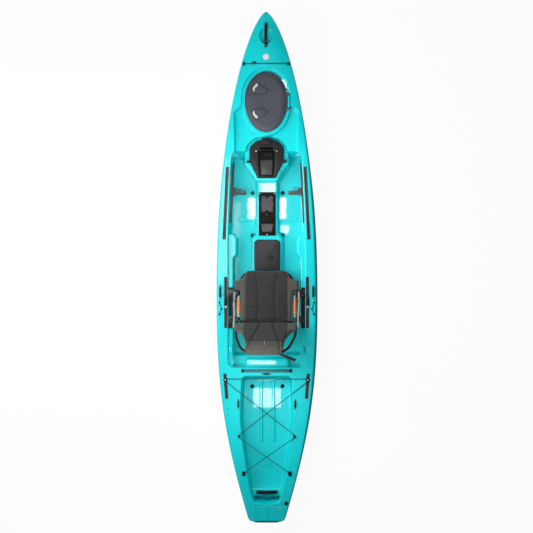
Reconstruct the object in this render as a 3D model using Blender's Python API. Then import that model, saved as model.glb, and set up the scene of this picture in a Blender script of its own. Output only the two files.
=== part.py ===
"""Sit-on-top fishing kayak: one hollow rotomoulded hull and the rigging bolted to it.

Metres, +Z up, bow at +Y, starboard at +X, the flat of the keel on Z = 0.
"""
import math

import bmesh
import bpy
from mathutils import Matrix, Vector

for old in list(bpy.data.objects):
    bpy.data.objects.remove(old, do_unlink=True)

# Hull lines
LENGTH = 4.27
BEAM = 0.846
SHEER_MID = 0.295
SHEER_RISE = 0.085
STEM_RISE = 0.020
FOREDECK_CROWN = 0.030
STEM_KEEL_RISE = 0.30
STERN_KEEL_RISE = 0.10
WIDEST = -0.12
WALL = 0.005
GAP = 0.0003
TRANSOM_CORNER = 0.045
STEM_HALF = 0.018
HOLLOW_END = 0.96
END_ROUND = 0.016
GUNWALE_TOP = 0.945

# Levels of the moulded wells
FOOTWELL_Z = 0.100
RIDGE_Z = 0.190
POD_Z = 0.300
RECESS_Z = 0.338
HATCH_Z = 0.386
LEDGE_Z = 0.270
SHELF_Z = 0.185
TANK_Z = 0.165
BRIDGE_TOP = TANK_Z + 0.075
BRIDGE_HALF = 0.031
STERN_GRIP_Y = -1.881

# Plan sizes of the wells
COCKPIT_FRONT = 0.972
COCKPIT_BACK = -0.833
COCKPIT_HALF = 0.322
TOE_HALF = 0.287
LEDGE_HALF = 0.283
RIDGE_HALF = 0.084
SCUPPER_X = 0.1275
SCUPPER_R = 0.0085
FILLET = 0.022


def ramp(a, b, v):
    """Smooth rise from 0 at a to 1 at b."""
    t = min(1.0, max(0.0, (v - a) / (b - a)))
    return t * t * (3.0 - 2.0 * t)


def half_beam(y):
    """Half width of the hull at a station, fitted to the outline in the photo."""
    s = 2.0 * y / LENGTH
    if s > WIDEST:
        t = min(1.0, (s - WIDEST) / (1.0 - WIDEST))
        return max(STEM_HALF, BEAM / 2.0 * (1.0 - t ** 2.118) ** 0.666)
    t = 0.758 * (WIDEST - s) / (WIDEST + 1.0)
    back = max(0.0, TRANSOM_CORNER - (y + LENGTH / 2.0))
    corner = TRANSOM_CORNER - math.sqrt(max(0.0, TRANSOM_CORNER ** 2 - back ** 2))
    return BEAM / 2.0 * (1.0 - t ** 2.503) ** 1.53 - corner


def sheer(y):
    """Height of the gunwale at a station."""
    s = 2.0 * y / LENGTH
    return SHEER_MID + SHEER_RISE * ramp(-0.2, 0.62, s) + STEM_RISE * ramp(0.5, 1.0, s)


def keel(y):
    """Height of the keel at a station: flat amidships, rocker at both ends."""
    s = 2.0 * y / LENGTH
    bow = max(0.0, (s - 0.62) / 0.38)
    stern = max(0.0, (-s - 0.6) / 0.4)
    return STEM_KEEL_RISE * bow ** 3.2 + STERN_KEEL_RISE * stern ** 2


def deck(x, y):
    """Height of the uncut deck."""
    s = 2.0 * y / LENGTH
    crown = FOREDECK_CROWN * ramp(0.4, 0.62, s) * (1.0 - ramp(0.86, 1.0, s))
    across = min(1.0, abs(x) / (GUNWALE_TOP * half_beam(y)))
    return sheer(y) + crown * (1.0 - across ** 2)


# Half sections from the keel to the gunwale: share of half beam, share of depth
MID_SECTION = (
    (0.0, 0.0), (0.28, 0.0), (0.42, 0.05), (0.56, 0.05), (0.70, 0.012), (0.84, 0.06),
    (0.94, 0.20), (0.985, 0.42), (1.0, 0.66), (0.995, 0.88), (0.975, 0.975), (GUNWALE_TOP, 1.0),
)
BOW_SECTION = (
    (0.0, 0.0), (0.10, 0.05), (0.22, 0.14), (0.34, 0.25), (0.46, 0.37), (0.58, 0.50),
    (0.70, 0.62), (0.82, 0.74), (0.92, 0.85), (0.985, 0.94), (0.985, 0.985), (GUNWALE_TOP, 1.0),
)
STATIONS = (
    -1.0, -0.997, -0.985, -0.95, -0.84, -0.68, -0.5, -0.3, -0.08, 0.12, 0.28, 0.42, 0.55,
    0.67, 0.77, 0.85, 0.91, 0.955, 0.982, 0.995, 1.0,
)


def inset(points, amount):
    """Moves every corner of a closed outline inwards by the same distance."""
    count = len(points)
    out = []
    for i, (x, z) in enumerate(points):
        ax, az = points[i - 1]
        bx, bz = points[(i + 1) % count]
        first = Vector((x - ax, z - az)).normalized()
        second = Vector((bx - x, bz - z)).normalized()
        normal = Vector((-first.y - second.y, first.x + second.x))
        normal.normalize()
        across = max(0.5, normal.dot(Vector((-first.y, first.x))))
        out.append((x + normal.x * amount / across, z + normal.y * amount / across))
    return out


def section(y, thick):
    """One closed cross section of the hull, counter-clockwise seen from the stern."""
    wide, low, high = half_beam(y), keel(y), sheer(y)
    s = 2.0 * y / LENGTH
    sharp = ramp(0.2, 0.9, s) + 0.3 * ramp(0.55, 1.0, -s)
    flat = 1.0 - ramp(0.8, 0.97, -s)
    half = []
    for (mx, mz), (bx, bz) in zip(MID_SECTION, BOW_SECTION):
        x = wide * (mx + (bx - mx) * sharp)
        mz *= flat if mx < 0.8 else 1.0
        half.append((x, low + (high - low) * (mz + (bz - mz) * sharp)))
    for share in (0.62, 0.31, 0.0):
        x = wide * share
        half.append((x, deck(x, y)))
    whole = half + [(-x, z) for x, z in half[-2:0:-1]]
    end = max(0.0, END_ROUND - (LENGTH / 2.0 - abs(y)))
    soft = END_ROUND - math.sqrt(max(0.0, END_ROUND ** 2 - end ** 2))
    middle = (low + high) / 2.0
    shrink = (1.0 - soft / wide, 1.0 - 2.0 * soft / (high - low))
    whole = [(x * shrink[0], middle + (z - middle) * shrink[1]) for x, z in whole]
    return inset(whole, thick) if thick else whole


def material(name, colour, rough=0.5, metal=0.0):
    """A Principled material of its own for one piece."""
    made = bpy.data.materials.new(name)
    made.use_nodes = True
    shader = made.node_tree.nodes["Principled BSDF"]
    shader.inputs["Base Color"].default_value = (*colour, 1.0)
    shader.inputs["Roughness"].default_value = rough
    shader.inputs["Metallic"].default_value = metal
    return made


def from_bmesh(name, bm):
    """Turns a bmesh into a scene object with outward faces."""
    bmesh.ops.recalc_face_normals(bm, faces=bm.faces)
    if bm.calc_volume(signed=True) < 0.0:
        bmesh.ops.reverse_faces(bm, faces=bm.faces)
    mesh = bpy.data.meshes.new(name)
    bm.to_mesh(mesh)
    bm.free()
    made = bpy.data.objects.new(name, mesh)
    bpy.context.scene.collection.objects.link(made)
    return made


def ring_solid(name, rings):
    """Closed solid through a row of rings, with a cap on the first and the last."""
    bm = bmesh.new()
    rows = [[bm.verts.new(p) for p in ring] for ring in rings]
    count = len(rows[0])
    for low, high in zip(rows, rows[1:]):
        for i in range(count):
            j = (i + 1) % count
            bm.faces.new((low[i], low[j], high[j], high[i]))
    bm.faces.new(rows[0][::-1])
    bm.faces.new(rows[-1])
    bmesh.ops.connect_verts_nonplanar(bm, angle_limit=0.0005, faces=bm.faces)
    return from_bmesh(name, bm)


def closed_rings(name, rings):
    """Ring-shaped solid: a row of rings whose last joins the first."""
    bm = bmesh.new()
    rows = [[bm.verts.new(p) for p in ring] for ring in rings]
    for low, high in zip(rows, rows[1:] + rows[:1]):
        for k in range(len(low)):
            m = (k + 1) % len(low)
            bm.faces.new((low[k], low[m], high[m], high[k]))
    return from_bmesh(name, bm)


def hull_form(name, thick):
    """The outside of the hull, or with a thickness the face inside its wall."""
    rings = []
    for s in STATIONS:
        y = s * LENGTH / 2.0
        if not thick or -LENGTH / 2.0 + thick < y < HOLLOW_END * LENGTH / 2.0:
            rings.append([(x, y, z) for x, z in section(y, thick)])
    return ring_solid(name, rings)


def rounded(corners, longest=0.3):
    """Plan outline with its corners rounded: each corner is x, y and radius."""
    out = []
    count = len(corners)
    for i, (x, y, radius) in enumerate(corners):
        here = Vector((x, y))
        back = Vector(corners[i - 1][:2]) - here
        ahead = Vector(corners[(i + 1) % count][:2]) - here
        turn = back.angle(ahead)
        if radius <= 0.0 or turn > 3.0:
            out.append(here)
            continue
        reach = min(radius / math.tan(turn / 2.0), 0.49 * back.length, 0.49 * ahead.length)
        radius = reach * math.tan(turn / 2.0)
        centre = here + (back.normalized() + ahead.normalized()).normalized() * (
            radius / math.sin(turn / 2.0))
        first = here + back.normalized() * reach - centre
        sweep = math.pi - turn
        steps = max(2, round(sweep / 0.7))
        sign = 1.0 if back.cross(ahead) < 0.0 else -1.0
        for k in range(steps + 1):
            spin = Matrix.Rotation(sign * sweep * k / steps, 2)
            out.append(centre + spin @ first)
    filled = []
    for a, b in zip(out, out[1:] + out[:1]):
        pieces = max(1, math.ceil((b - a).length / longest))
        filled += [a.lerp(b, k / pieces) for k in range(pieces)]
    return filled


def mirrored(half, longest=0.3):
    """Whole outline from the corners of its starboard half, listed bow to stern."""
    other = [(-x, y, r) for x, y, r in half if x > 1e-6]
    return rounded(other + half[::-1], longest)


def egg(half, fore, aft, centre, count=24):
    """Egg-shaped outline: half width, reach forward and reach aft of its widest line."""
    out = []
    for k in range(count):
        a = 2.0 * math.pi * (k + 0.5) / count
        reach = fore if math.sin(a) > 0.0 else aft
        out.append(Vector((half * math.cos(a), centre + reach * math.sin(a))))
    return out


def normals(points):
    """Outward direction at every corner of a counter-clockwise outline."""
    count = len(points)
    out = []
    for i in range(count):
        first = (points[i] - points[i - 1]).normalized()
        second = (points[(i + 1) % count] - points[i]).normalized()
        normal = Vector((first.y + second.y, -first.x - second.x)).normalized()
        out.append(normal / max(0.6, normal.dot(Vector((first.y, -first.x)))))
    return out


def counter(points):
    """The same outline, turned counter-clockwise."""
    area = sum(a.cross(b) for a, b in zip(points, points[1:] + points[:1]))
    return points if area > 0.0 else points[::-1]


def cutter(made):
    """Marks a solid as a tool that only shapes another."""
    made.hide_render = True
    made.display_type = "WIRE"
    return made


def well(name, points, floor, lip=0.010, slopes=(0.05, 0.05, 0.05), fillet=FILLET,
         rim=deck, grown=0.0, turns=(0.0, 45.0, 90.0)):
    """Solid that cuts a moulded well: rounded lip, drafted wall, filleted floor.

    slopes are the run per rise of the side, fore and aft walls. With grown it
    is the same well seen from the far side of a wall that thick.
    """
    points = counter(points)
    outs = normals(points)
    rings = []
    for angle in (None, 60.0, 0.0):
        ring = []
        for p, n in zip(points, outs):
            a = math.radians(60.0 if angle is None else angle)
            off = lip - (lip - grown) * math.cos(a)
            q = p + n * off
            z = rim(q.x, q.y) - lip + (lip - grown) * math.sin(a)
            ring.append((q.x, q.y, z + 0.08 if angle is None else z))
        rings.append(ring)
    for angle in turns:
        ring = []
        a = math.radians(angle)
        for p, n in zip(points, outs):
            slope = slopes[0] + (slopes[1] - slopes[0]) * max(0.0, n.y) ** 2
            slope += (slopes[2] - slopes[0]) * max(0.0, -n.y) ** 2
            draft = slope * max(0.0, rim(p.x, p.y) - lip - floor - fillet)
            off = -draft - fillet + (fillet + grown) * math.cos(a)
            q = p + n * off
            ring.append((q.x, q.y, floor + fillet - (fillet + grown) * math.sin(a)))
        rings.append(ring)
    return cutter(ring_solid(name, rings))


def boss(name, points, top, base, slope=0.1, edge=0.012, shrunk=0.0):
    """Solid that stands up in a well, with a rounded top edge and sloping sides."""
    points = counter(points)
    outs = normals(points)
    rings = []
    low = (slope * (top - base) - shrunk, base)
    levels = [low, (slope * edge - shrunk, top - edge)]
    for angle in (90.0,) if shrunk else (45.0, 90.0):
        a = math.radians(angle)
        radius = max(edge - shrunk, 0.002)
        levels.append((radius * math.cos(a) - edge, top - edge + radius * math.sin(a)
                       - max(0.0, shrunk - edge + 0.002)))
    for off, z in levels:
        rings.append([((p + n * off).x, (p + n * off).y, z) for p, n in zip(points, outs)])
    return cutter(ring_solid(name, rings))


def slab(name, size, centre, turn=None):
    """Plain box given by its size and centre, turned about its own centre."""
    bm = bmesh.new()
    bmesh.ops.create_cube(bm, size=1.0)
    bmesh.ops.scale(bm, vec=size, verts=bm.verts)
    made = from_bmesh(name, bm)
    made.matrix_world = Matrix.Translation(centre) @ (turn.to_4x4() if turn else Matrix())
    return made


def boolean(target, tool, operation="DIFFERENCE"):
    """Adds an exact Boolean modifier with one tool or a collection of tools."""
    step = target.modifiers.new("cut", "BOOLEAN")
    step.solver = "EXACT"
    step.operation = operation
    if isinstance(tool, bpy.types.Collection):
        step.operand_type = "COLLECTION"
        step.collection = tool
    else:
        step.object = cutter(tool)


def gather(name, tools):
    """Collection of cutters that one Boolean takes together."""
    made = bpy.data.collections.new(name)
    bpy.context.scene.collection.children.link(made)
    for tool in tools:
        for home in list(tool.users_collection):
            home.objects.unlink(tool)
        made.objects.link(tool)
    return made


LID_HALF = 0.179
LID_CENTRE = 1.400
LID_FORE = 0.236
LID_AFT = 0.270


def lid_outline(extra):
    """Outline of the bow hatch, moved outwards by a distance."""
    return egg(LID_HALF + extra, LID_FORE + extra, LID_AFT + extra, LID_CENTRE)


def foredeck_or_deck(x, y):
    """Height that the lip of the footwells meets: the recess ahead of them, or the deck."""
    blend = ramp(TOE_HALF - 0.05, TOE_HALF - 0.005, abs(x)) if y > COCKPIT_FRONT - 0.03 else 1.0
    return RECESS_Z + (deck(x, y) - RECESS_Z) * blend


RECESS = [(0.0, 1.420, 0), (0.19, 1.372, 0.05), (0.270, 1.300, 0.03), (0.262, 0.930, 0)]
ARCH = [(0.0, 1.096, 0), (0.10, 1.082, 0.08), (0.160, 1.030, 0.06), (0.173, 0.975, 0.0),
        (0.173, 0.900, 0)]
COCKPIT = [(TOE_HALF, COCKPIT_FRONT, 0.06), (0.301, 0.80, 0), (0.317, 0.42, 0),
           (COCKPIT_HALF, 0.20, 0), (COCKPIT_HALF, COCKPIT_BACK, 0.05)]
PEDESTAL = [(0.182, 1.02, 0), (0.182, 0.86, 0.03), (0.125, 0.80, 0.05),
            (RIDGE_HALF + 0.006, 0.725, 0.02)]
RIDGE = [(0.175, 1.02, 0), (0.170, 0.86, 0.04), (RIDGE_HALF, 0.745, 0.06),
         (RIDGE_HALF, 0.290, 0.05), (0.122, 0.250, 0.03), (0.122, -0.052, 0.04)]
LEDGE = [(0.380, 0.285, 0), (0.285, 0.285, 0.02), (0.256, 0.245, 0.02), (0.256, 0.110, 0.02),
         (LEDGE_HALF, 0.080, 0.02), (LEDGE_HALF, COCKPIT_BACK - 0.04, 0),
         (0.380, COCKPIT_BACK - 0.04, 0)]
TANK = [(0.207, -0.910, 0.04), (0.222, -1.242, 0), (0.202, -1.462, 0.2), (0.160, -1.744, 0.2),
        (0.128, -1.895, 0.1), (0.100, -1.960, 0.03), (0.0, -1.983, 0)]


def side(corners, sign):
    """Outline on one side of the boat."""
    return rounded([(sign * x, y, r) for x, y, r in corners])


def tools(t):
    """Every solid cut from the hull, or with a wall t every solid cut from its hollow."""
    tag = "_far" if t else ""
    out = []

    recess = well("cut_recess" + tag, mirrored(RECESS), RECESS_Z, 0.008, (0.2, 0.4, 0.2),
                  0.012, grown=t, turns=(0.0, 90.0))
    boolean(recess, boss("hatch_boss" + tag, lid_outline(0.028), HATCH_Z, RECESS_Z - 0.03,
                         0.15, 0.006, t))
    out.append(recess)
    out.append(well("cut_hatch" + tag, lid_outline(0.030), HATCH_Z, 0.008, fillet=0.006,
                    rim=lambda x, y: max(deck(x, y), HATCH_Z + 0.016), grown=t,
                    turns=(0.0, 90.0)))
    out.append(well("cut_arch" + tag, mirrored(ARCH), POD_Z, 0.007, (0.1, 0.1, 0.1), 0.010,
                    rim=lambda x, y: RECESS_Z, grown=t, turns=(0.0, 90.0)))

    cockpit = well("cut_cockpit" + tag, mirrored(COCKPIT, 0.25), FOOTWELL_Z, 0.010,
                   (0.035, 0.26, 0.1), rim=foredeck_or_deck, grown=t)
    boolean(cockpit, boss("pedestal" + tag, mirrored(PEDESTAL), POD_Z, FOOTWELL_Z - 0.03,
                          0.10, 0.012, t))
    boolean(cockpit, boss("ridge" + tag, mirrored(RIDGE), RIDGE_Z, FOOTWELL_Z - 0.03,
                          0.38, 0.010, t))
    for sign in (1.0, -1.0):
        boolean(cockpit, boss("ledge%+d" % sign + tag, side(LEDGE, sign), LEDGE_Z,
                              FOOTWELL_Z - 0.03, 0.05, 0.010, t))
    boolean(cockpit, boss("shelf" + tag, rounded([(0.36, -0.735, 0), (-0.36, -0.735, 0),
                                                 (-0.36, -0.90, 0), (0.36, -0.90, 0)]),
                          SHELF_Z, FOOTWELL_Z - 0.03, 0.25, 0.012, t))
    boolean(cockpit, boss("step" + tag, rounded([(0.182, -0.760, 0.02), (-0.182, -0.760, 0.02),
                                                (-0.182, -0.90, 0), (0.182, -0.90, 0)]),
                          SHELF_Z + 0.05, FOOTWELL_Z - 0.03, 0.12, 0.015, t))
    out.append(cockpit)

    tank = well("cut_tank" + tag, mirrored(TANK, 0.2), TANK_Z, 0.010, (0.10, 0.15, 0.25),
                grown=t)
    for sign in (1.0, -1.0):
        x = 0.051 * sign
        boolean(tank, boss("rib%+d" % sign + tag, rounded(
            [(x + 0.010, -0.955, 0), (x - 0.010, -0.955, 0), (x - 0.010, -1.455, 0),
             (x + 0.010, -1.455, 0)]), TANK_Z + 0.014, TANK_Z - 0.03, 0.4, 0.005, t))
    fore, aft = STERN_GRIP_Y + BRIDGE_HALF, STERN_GRIP_Y - BRIDGE_HALF
    boolean(tank, boss("bridge" + tag, rounded([(0.17, fore, 0), (-0.17, fore, 0),
                                               (-0.17, aft, 0), (0.17, aft, 0)]),
                       BRIDGE_TOP, TANK_Z - 0.03, 0.2, 0.012, t))
    out.append(tank)

    out.append(well("cut_grip" + tag, egg(0.055, 0.066, 0.066, 1.934, 16), 0.386, 0.006,
                    (0.1, 0.1, 0.1), 0.012, grown=t, turns=(0.0, 90.0)))
    return out


def between(made, first, last):
    """Lays a piece along the line between two points, its own Y axis along the line."""
    first, last = Vector(first), Vector(last)
    run = last - first
    made.location = (first + last) / 2.0
    made.rotation_euler = (math.atan2(run.z, run.xy.length), 0.0, math.atan2(-run.x, run.y))
    return made


def on_deck(x, y, drop=0.0):
    """Point on the uncut deck, or a little under it."""
    return Vector((x, y, deck(x, y) - drop))


def finish(made, colour, rough=0.5, metal=0.0):
    """Gives a piece its own material and smooth shading over its curved faces."""
    made.data.materials.append(material(made.name + "_finish", colour, rough, metal))
    if made.type == "MESH":
        made.data.shade_smooth()
        made.data.set_sharp_from_angle(angle=math.radians(32.0))
    return made


def pivot(made, point):
    """Moves a piece's origin to a point on its joint's axis."""
    made.data.transform(Matrix.Translation(made.location - Vector(point)))
    made.location = point
    return made


def drum(name, radius, depth, centre, axis="Z", sides=20):
    """Round bar, plug or pin along one axis."""
    bm = bmesh.new()
    bmesh.ops.create_cone(bm, cap_ends=True, segments=sides, radius1=radius, radius2=radius,
                          depth=depth)
    if axis == "X":
        bmesh.ops.rotate(bm, matrix=Matrix.Rotation(math.pi / 2.0, 3, "Y"), verts=bm.verts)
    if axis == "Y":
        bmesh.ops.rotate(bm, matrix=Matrix.Rotation(math.pi / 2.0, 3, "X"), verts=bm.verts)
    made = from_bmesh(name, bm)
    made.location = centre
    return made


def turned(name, outline, centre, sides=16):
    """Solid of revolution about Z from radius and height pairs, bottom to top."""
    rings = []
    for radius, z in outline:
        rings.append([(radius * math.cos(2.0 * math.pi * k / sides),
                       radius * math.sin(2.0 * math.pi * k / sides), z) for k in range(sides)])
    made = ring_solid(name, rings)
    made.location = centre
    return made


def block(name, size, centre, edge=0.0, turn=0.0):
    """Box with chamfered edges, turned about Z."""
    made = slab(name, size, centre, Matrix.Rotation(turn, 3, "Z"))
    if edge:
        bm = bmesh.new()
        bm.from_mesh(made.data)
        bmesh.ops.bevel(bm, geom=bm.edges, offset=edge, segments=1, affect="EDGES",
                        profile=0.5)
        bm.to_mesh(made.data)
        bm.free()
    return made


def plate(name, points, low, high, edge=0.0):
    """Flat piece with a plan outline and a chamfered top edge."""
    points = counter(points)
    levels = [(0.0, low), (0.0, high - edge)]
    if edge:
        levels.append((-edge, high))
    outs = normals(points)
    return ring_solid(name, [[(p.x + n.x * off, p.y + n.y * off, z)
                              for p, n in zip(points, outs)] for off, z in levels])


def extruded(name, profile, half):
    """Profile given across and up, run along Y to both sides of the middle."""
    return ring_solid(name, [[(x, y, z) for x, z in profile] for y in (-half, half)])


def arch(name, span, rise, width, thick, foot):
    """Carry handle or pad-eye: flat feet and a raised bow between them, along Y."""
    steps = 8
    line = [(-span / 2.0, 0.0)]
    for k in range(steps + 1):
        u = -span / 2.0 + foot + (span - 2.0 * foot) * k / steps
        line.append((u, rise * math.sin(math.pi * k / steps) ** 0.55 if 0 < k < steps else 0.0))
    line.append((span / 2.0, 0.0))
    half = width / 2.0
    return ring_solid(name, [[(-half, u, z), (half, u, z), (half, u, z + thick),
                              (-half, u, z + thick)] for u, z in line])


def tube(name, points, radius, sides=2, closed=False):
    """Round bar or cord along a path, with capped ends."""
    curve = bpy.data.curves.new(name, "CURVE")
    curve.dimensions = "3D"
    curve.bevel_depth = radius
    curve.bevel_resolution = sides
    curve.use_fill_caps = not closed
    spline = curve.splines.new("POLY")
    spline.points.add(len(points) - 1)
    for point, p in zip(spline.points, points):
        point.co = (*p, 1.0)
    spline.use_cyclic_u = closed
    made = bpy.data.objects.new(name, curve)
    bpy.context.scene.collection.objects.link(made)
    return made


def solid_tube(name, points, radius, sides=10, closed=False):
    """The same bar as a mesh, so that Booleans can join lugs to it or bore it."""
    rings = []
    count = len(points)
    up = Vector((0.0, 0.0, 1.0))
    for i, p in enumerate(points):
        back = points[i - 1] if i or closed else p
        ahead = points[(i + 1) % count] if i < count - 1 or closed else p
        along = (Vector(ahead) - Vector(back)).normalized()
        across = along.cross(up).normalized()
        over = across.cross(along)
        rings.append([Vector(p) + radius * (across * math.cos(2.0 * math.pi * k / sides)
                                            + over * math.sin(2.0 * math.pi * k / sides))
                      for k in range(sides)])
    return closed_rings(name, rings) if closed else ring_solid(name, rings)


def fillet_path(corners, steps=4):
    """Path through corner points with radii, each corner rounded in space."""
    out = []
    for i, (x, y, z, radius) in enumerate(corners):
        here = Vector((x, y, z))
        if radius <= 0.0 or i in (0, len(corners) - 1):
            out.append(here)
            continue
        back = (Vector(corners[i - 1][:3]) - here)
        ahead = (Vector(corners[i + 1][:3]) - here)
        first = here + back.normalized() * radius
        last = here + ahead.normalized() * radius
        for k in range(steps + 1):
            t = k / steps
            out.append(first.lerp(here, t).lerp(here.lerp(last, t), t))
    return out


# Gear tracks and rails: starboard ends in plan, the width and height of their section
TRACK_W = 0.028
TRACK_H = 0.013
TRACKS = {"front": ((0.3245, 0.8445), (0.3554, 0.2370)),
          "mid": ((0.3420, -0.0770), (0.3420, -0.5045)),
          "rear": ((0.3500, -0.8860), (0.3337, -1.0976))}
FOOT_RAIL = ((0.2830, 0.885), (0.3085, 0.375))
FOOT_RAIL_Z = 0.190
FOOT_RAIL_W = 0.018
FOOT_RAIL_H = 0.040
SEAT_RAIL_X = 0.3035
SEAT_RAIL_W = 0.034
SEAT_RAIL_H = 0.018
SEAT_RAIL_ENDS = (-0.1650, -0.5070)

# Small deck hardware
EYE_FORE_X = 0.186
EYE_FORE_Y = 1.700
STUD_MID = (0.2318, -1.4110)
STUD_AFT = (0.1930, -1.7215)
STUD_TRACK_Y = -0.9397
TANK_EYE = (0.2380, -1.1418)
GRIP_ENDS = (2.0410, 1.8380)
BADGE_Y = 1.758
BADGE_R = 0.026
SIDE_GRIP = (0.3890, -0.2020)
DRAIN = (0.1640, -1.9710)
DRAIN_R = 0.0105
BUNGEE_R = 0.003
HANDLE_FOOT = 0.018
FOOT_RELIEF = 0.006
SIDES = (("left", -1.0), ("right", 1.0))

seats = []
channels = []


def seat_for(name, size, first, last, lower=0.0, deep=False):
    """Records a flat-bottomed recess in the hull, a gap wider than the piece it takes."""
    for wall in (0.0, WALL) if deep else (0.0,):
        grow = 2.0 * (GAP + wall)
        tool = slab(name + ("_far_seat" if wall else "_seat"),
                    (size[0] + grow, (Vector(last) - Vector(first)).length + grow,
                     size[1] + 2.0 * wall), (0.0, 0.0, 0.0))
        tool.data.transform(Matrix.Translation((0.0, 0.0, size[1] / 2.0 - lower)))
        cutter(between(tool, first, last))
        (channels if wall else seats).append(tool)


# Gear tracks, each in a channel moulded along the gunwale
for place, ((x0, y0), (x1, y1)) in TRACKS.items():
    for tag, sign in SIDES:
        first = Vector((sign * x0, y0, deck(x0, y0) - TRACK_H))
        last = Vector((sign * x1, y1, deck(x1, y1) - TRACK_H))
        half = TRACK_W / 2.0
        lip, slot, web = 0.0045, 0.009, 0.003
        track = extruded("gear_track_%s_%s" % (place, tag), [
            (-half, 0.0), (half, 0.0), (half, TRACK_H), (lip, TRACK_H),
            (lip, TRACK_H - web), (slot, TRACK_H - web), (slot, web), (-slot, web),
            (-slot, TRACK_H - web), (-lip, TRACK_H - web), (-lip, TRACK_H), (-half, TRACK_H),
        ], (last - first).length / 2.0)
        between(track, last, first)
        seat_for(track.name, (TRACK_W, 0.06), last, first, GAP, True)
        finish(track, (0.045, 0.042, 0.045), 0.55)

# Foot-brace rails in flats on the footwell walls, pedals that slide on them, and triggers
SLOT_H = 0.012
SLOT_D = 0.009
PEDAL_Y = 0.640
PEDAL_PAD = (0.088, 0.020, 0.115)
CARRIAGE_L = 0.070
TRIGGER_R = 0.0026
rail_first = Vector((FOOT_RAIL[0][0], FOOT_RAIL[0][1], FOOT_RAIL_Z))
rail_last = Vector((FOOT_RAIL[1][0], FOOT_RAIL[1][1], FOOT_RAIL_Z))
for tag, sign in SIDES:
    flip = Matrix.Diagonal((sign, 1.0, 1.0, 1.0))
    first, last = flip @ rail_last, flip @ rail_first
    face = -sign * FOOT_RAIL_W / 2.0
    inner = face + sign * SLOT_D
    back = -face
    tall, open_half = FOOT_RAIL_H / 2.0, SLOT_H / 2.0
    rail = extruded("foot_rail_" + tag, [
        (back, -tall), (back, tall), (face, tall), (face, open_half),
        (inner, open_half), (inner, -open_half), (face, -open_half), (face, -tall),
    ], (last - first).length / 2.0)
    between(rail, first, last)
    finish(rail, (0.05, 0.05, 0.055), 0.5)
    for wall in (0.0, WALL):
        tool = slab("foot_rail_%s_seat%s" % (tag, "_far" if wall else ""),
                    (0.06, (last - first).length + 2.0 * (GAP + wall),
                     FOOT_RAIL_H + 2.0 * (GAP + wall)), (0.0, 0.0, 0.0))
        outer = FOOT_RAIL_W / 2.0 + GAP + wall - 0.03
        tool.data.transform(Matrix.Translation((sign * outer, 0.0, 0.0)))
        cutter(between(tool, first, last))
        (channels if wall else seats).append(tool)

    # the pedal is built square on, then laid along the rail
    part_way = (rail_first.y - PEDAL_Y) / (rail_first.y - rail_last.y)
    home = flip @ rail_first.lerp(rail_last, part_way)
    turn = math.atan2(-(last - first).x, (last - first).y)
    near = face - sign * GAP
    pedal = block("pedal_" + tag, (0.024, CARRIAGE_L, 0.050),
                  (near - sign * 0.012, 0.0, 0.0), 0.003)
    pad = block("pedal_pad_" + tag, PEDAL_PAD, (near - sign * (0.020 + PEDAL_PAD[0] / 2.0),
                                                -0.006, 0.012), 0.006)
    pad.rotation_euler.x = math.radians(-8.0)
    tongue = slab("pedal_tongue_" + tag, (SLOT_D, 0.05, SLOT_H - 2.0 * GAP),
                  (near + sign * (SLOT_D / 2.0 - 0.001), 0.0, 0.0))
    bore = drum("pedal_bore_" + tag, TRIGGER_R + GAP, 0.030, (near - sign * 0.022, 0.024, 0.012),
                "X", 10)
    base = bpy.data.objects.new("pedal_mount_" + tag, None)
    bpy.context.scene.collection.objects.link(base)
    base.location = home
    base.rotation_euler.z = turn
    reach = near - sign * 0.0235
    trigger = tube("trigger_" + tag, [
        (near - sign * 0.0085, 0.024, 0.012), (reach - sign * 0.008, 0.024, 0.012),
        (reach - sign * 0.012, 0.027, 0.015), (reach - sign * 0.014, 0.034, 0.026),
        (reach - sign * 0.017, 0.037, 0.036), (reach - sign * 0.022, 0.038, 0.041),
        (reach - sign * 0.062, 0.038, 0.043)], TRIGGER_R, 2)
    axis = Vector((near - sign * 0.022, 0.024, 0.012))
    for point in trigger.data.splines[0].points:
        point.co = (*(point.co.to_3d() - axis), 1.0)
    trigger.location = axis
    for made in (pedal, pad, tongue, bore, trigger):
        made.parent = base
    boolean(pedal, pad, "UNION")
    boolean(pedal, tongue, "UNION")
    boolean(pedal, bore)
    finish(pedal, (0.05, 0.045, 0.05), 0.6)
    finish(trigger, (0.80, 0.80, 0.78), 0.25, 1.0)

# Bow: carry handle over its finger well, blank badge, bungee with eyes and hook
fore_foot = on_deck(0.0, GRIP_ENDS[0], 0.003)
aft_foot = on_deck(0.0, GRIP_ENDS[1], 0.003)
grip = arch("bow_handle", (fore_foot - aft_foot).length, 0.026, 0.026, 0.009, 0.024)
between(grip, aft_foot, fore_foot)
finish(grip, (0.06, 0.05, 0.055), 0.5)
run = (fore_foot - aft_foot).normalized()
seat_for("grip_fore", (0.026, 0.05), fore_foot - run * (0.024 + FOOT_RELIEF), fore_foot, GAP)
seat_for("grip_aft", (0.026, 0.05), aft_foot, aft_foot + run * (0.024 + FOOT_RELIEF), GAP)

badge_z = deck(0.0, BADGE_Y) - 0.0022
badge = turned("bow_badge", [(BADGE_R, 0.0), (BADGE_R, 0.002), (BADGE_R - 0.003, 0.0035)],
               (0.0, BADGE_Y, badge_z), 24)
finish(badge, (0.75, 0.76, 0.76), 0.3, 0.8)
badge_seat = drum("badge_seat", BADGE_R + GAP, 0.04, (0.0, BADGE_Y, badge_z + 0.02 - GAP),
                  "Z", 24)
seats.append(cutter(badge_seat))

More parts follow.
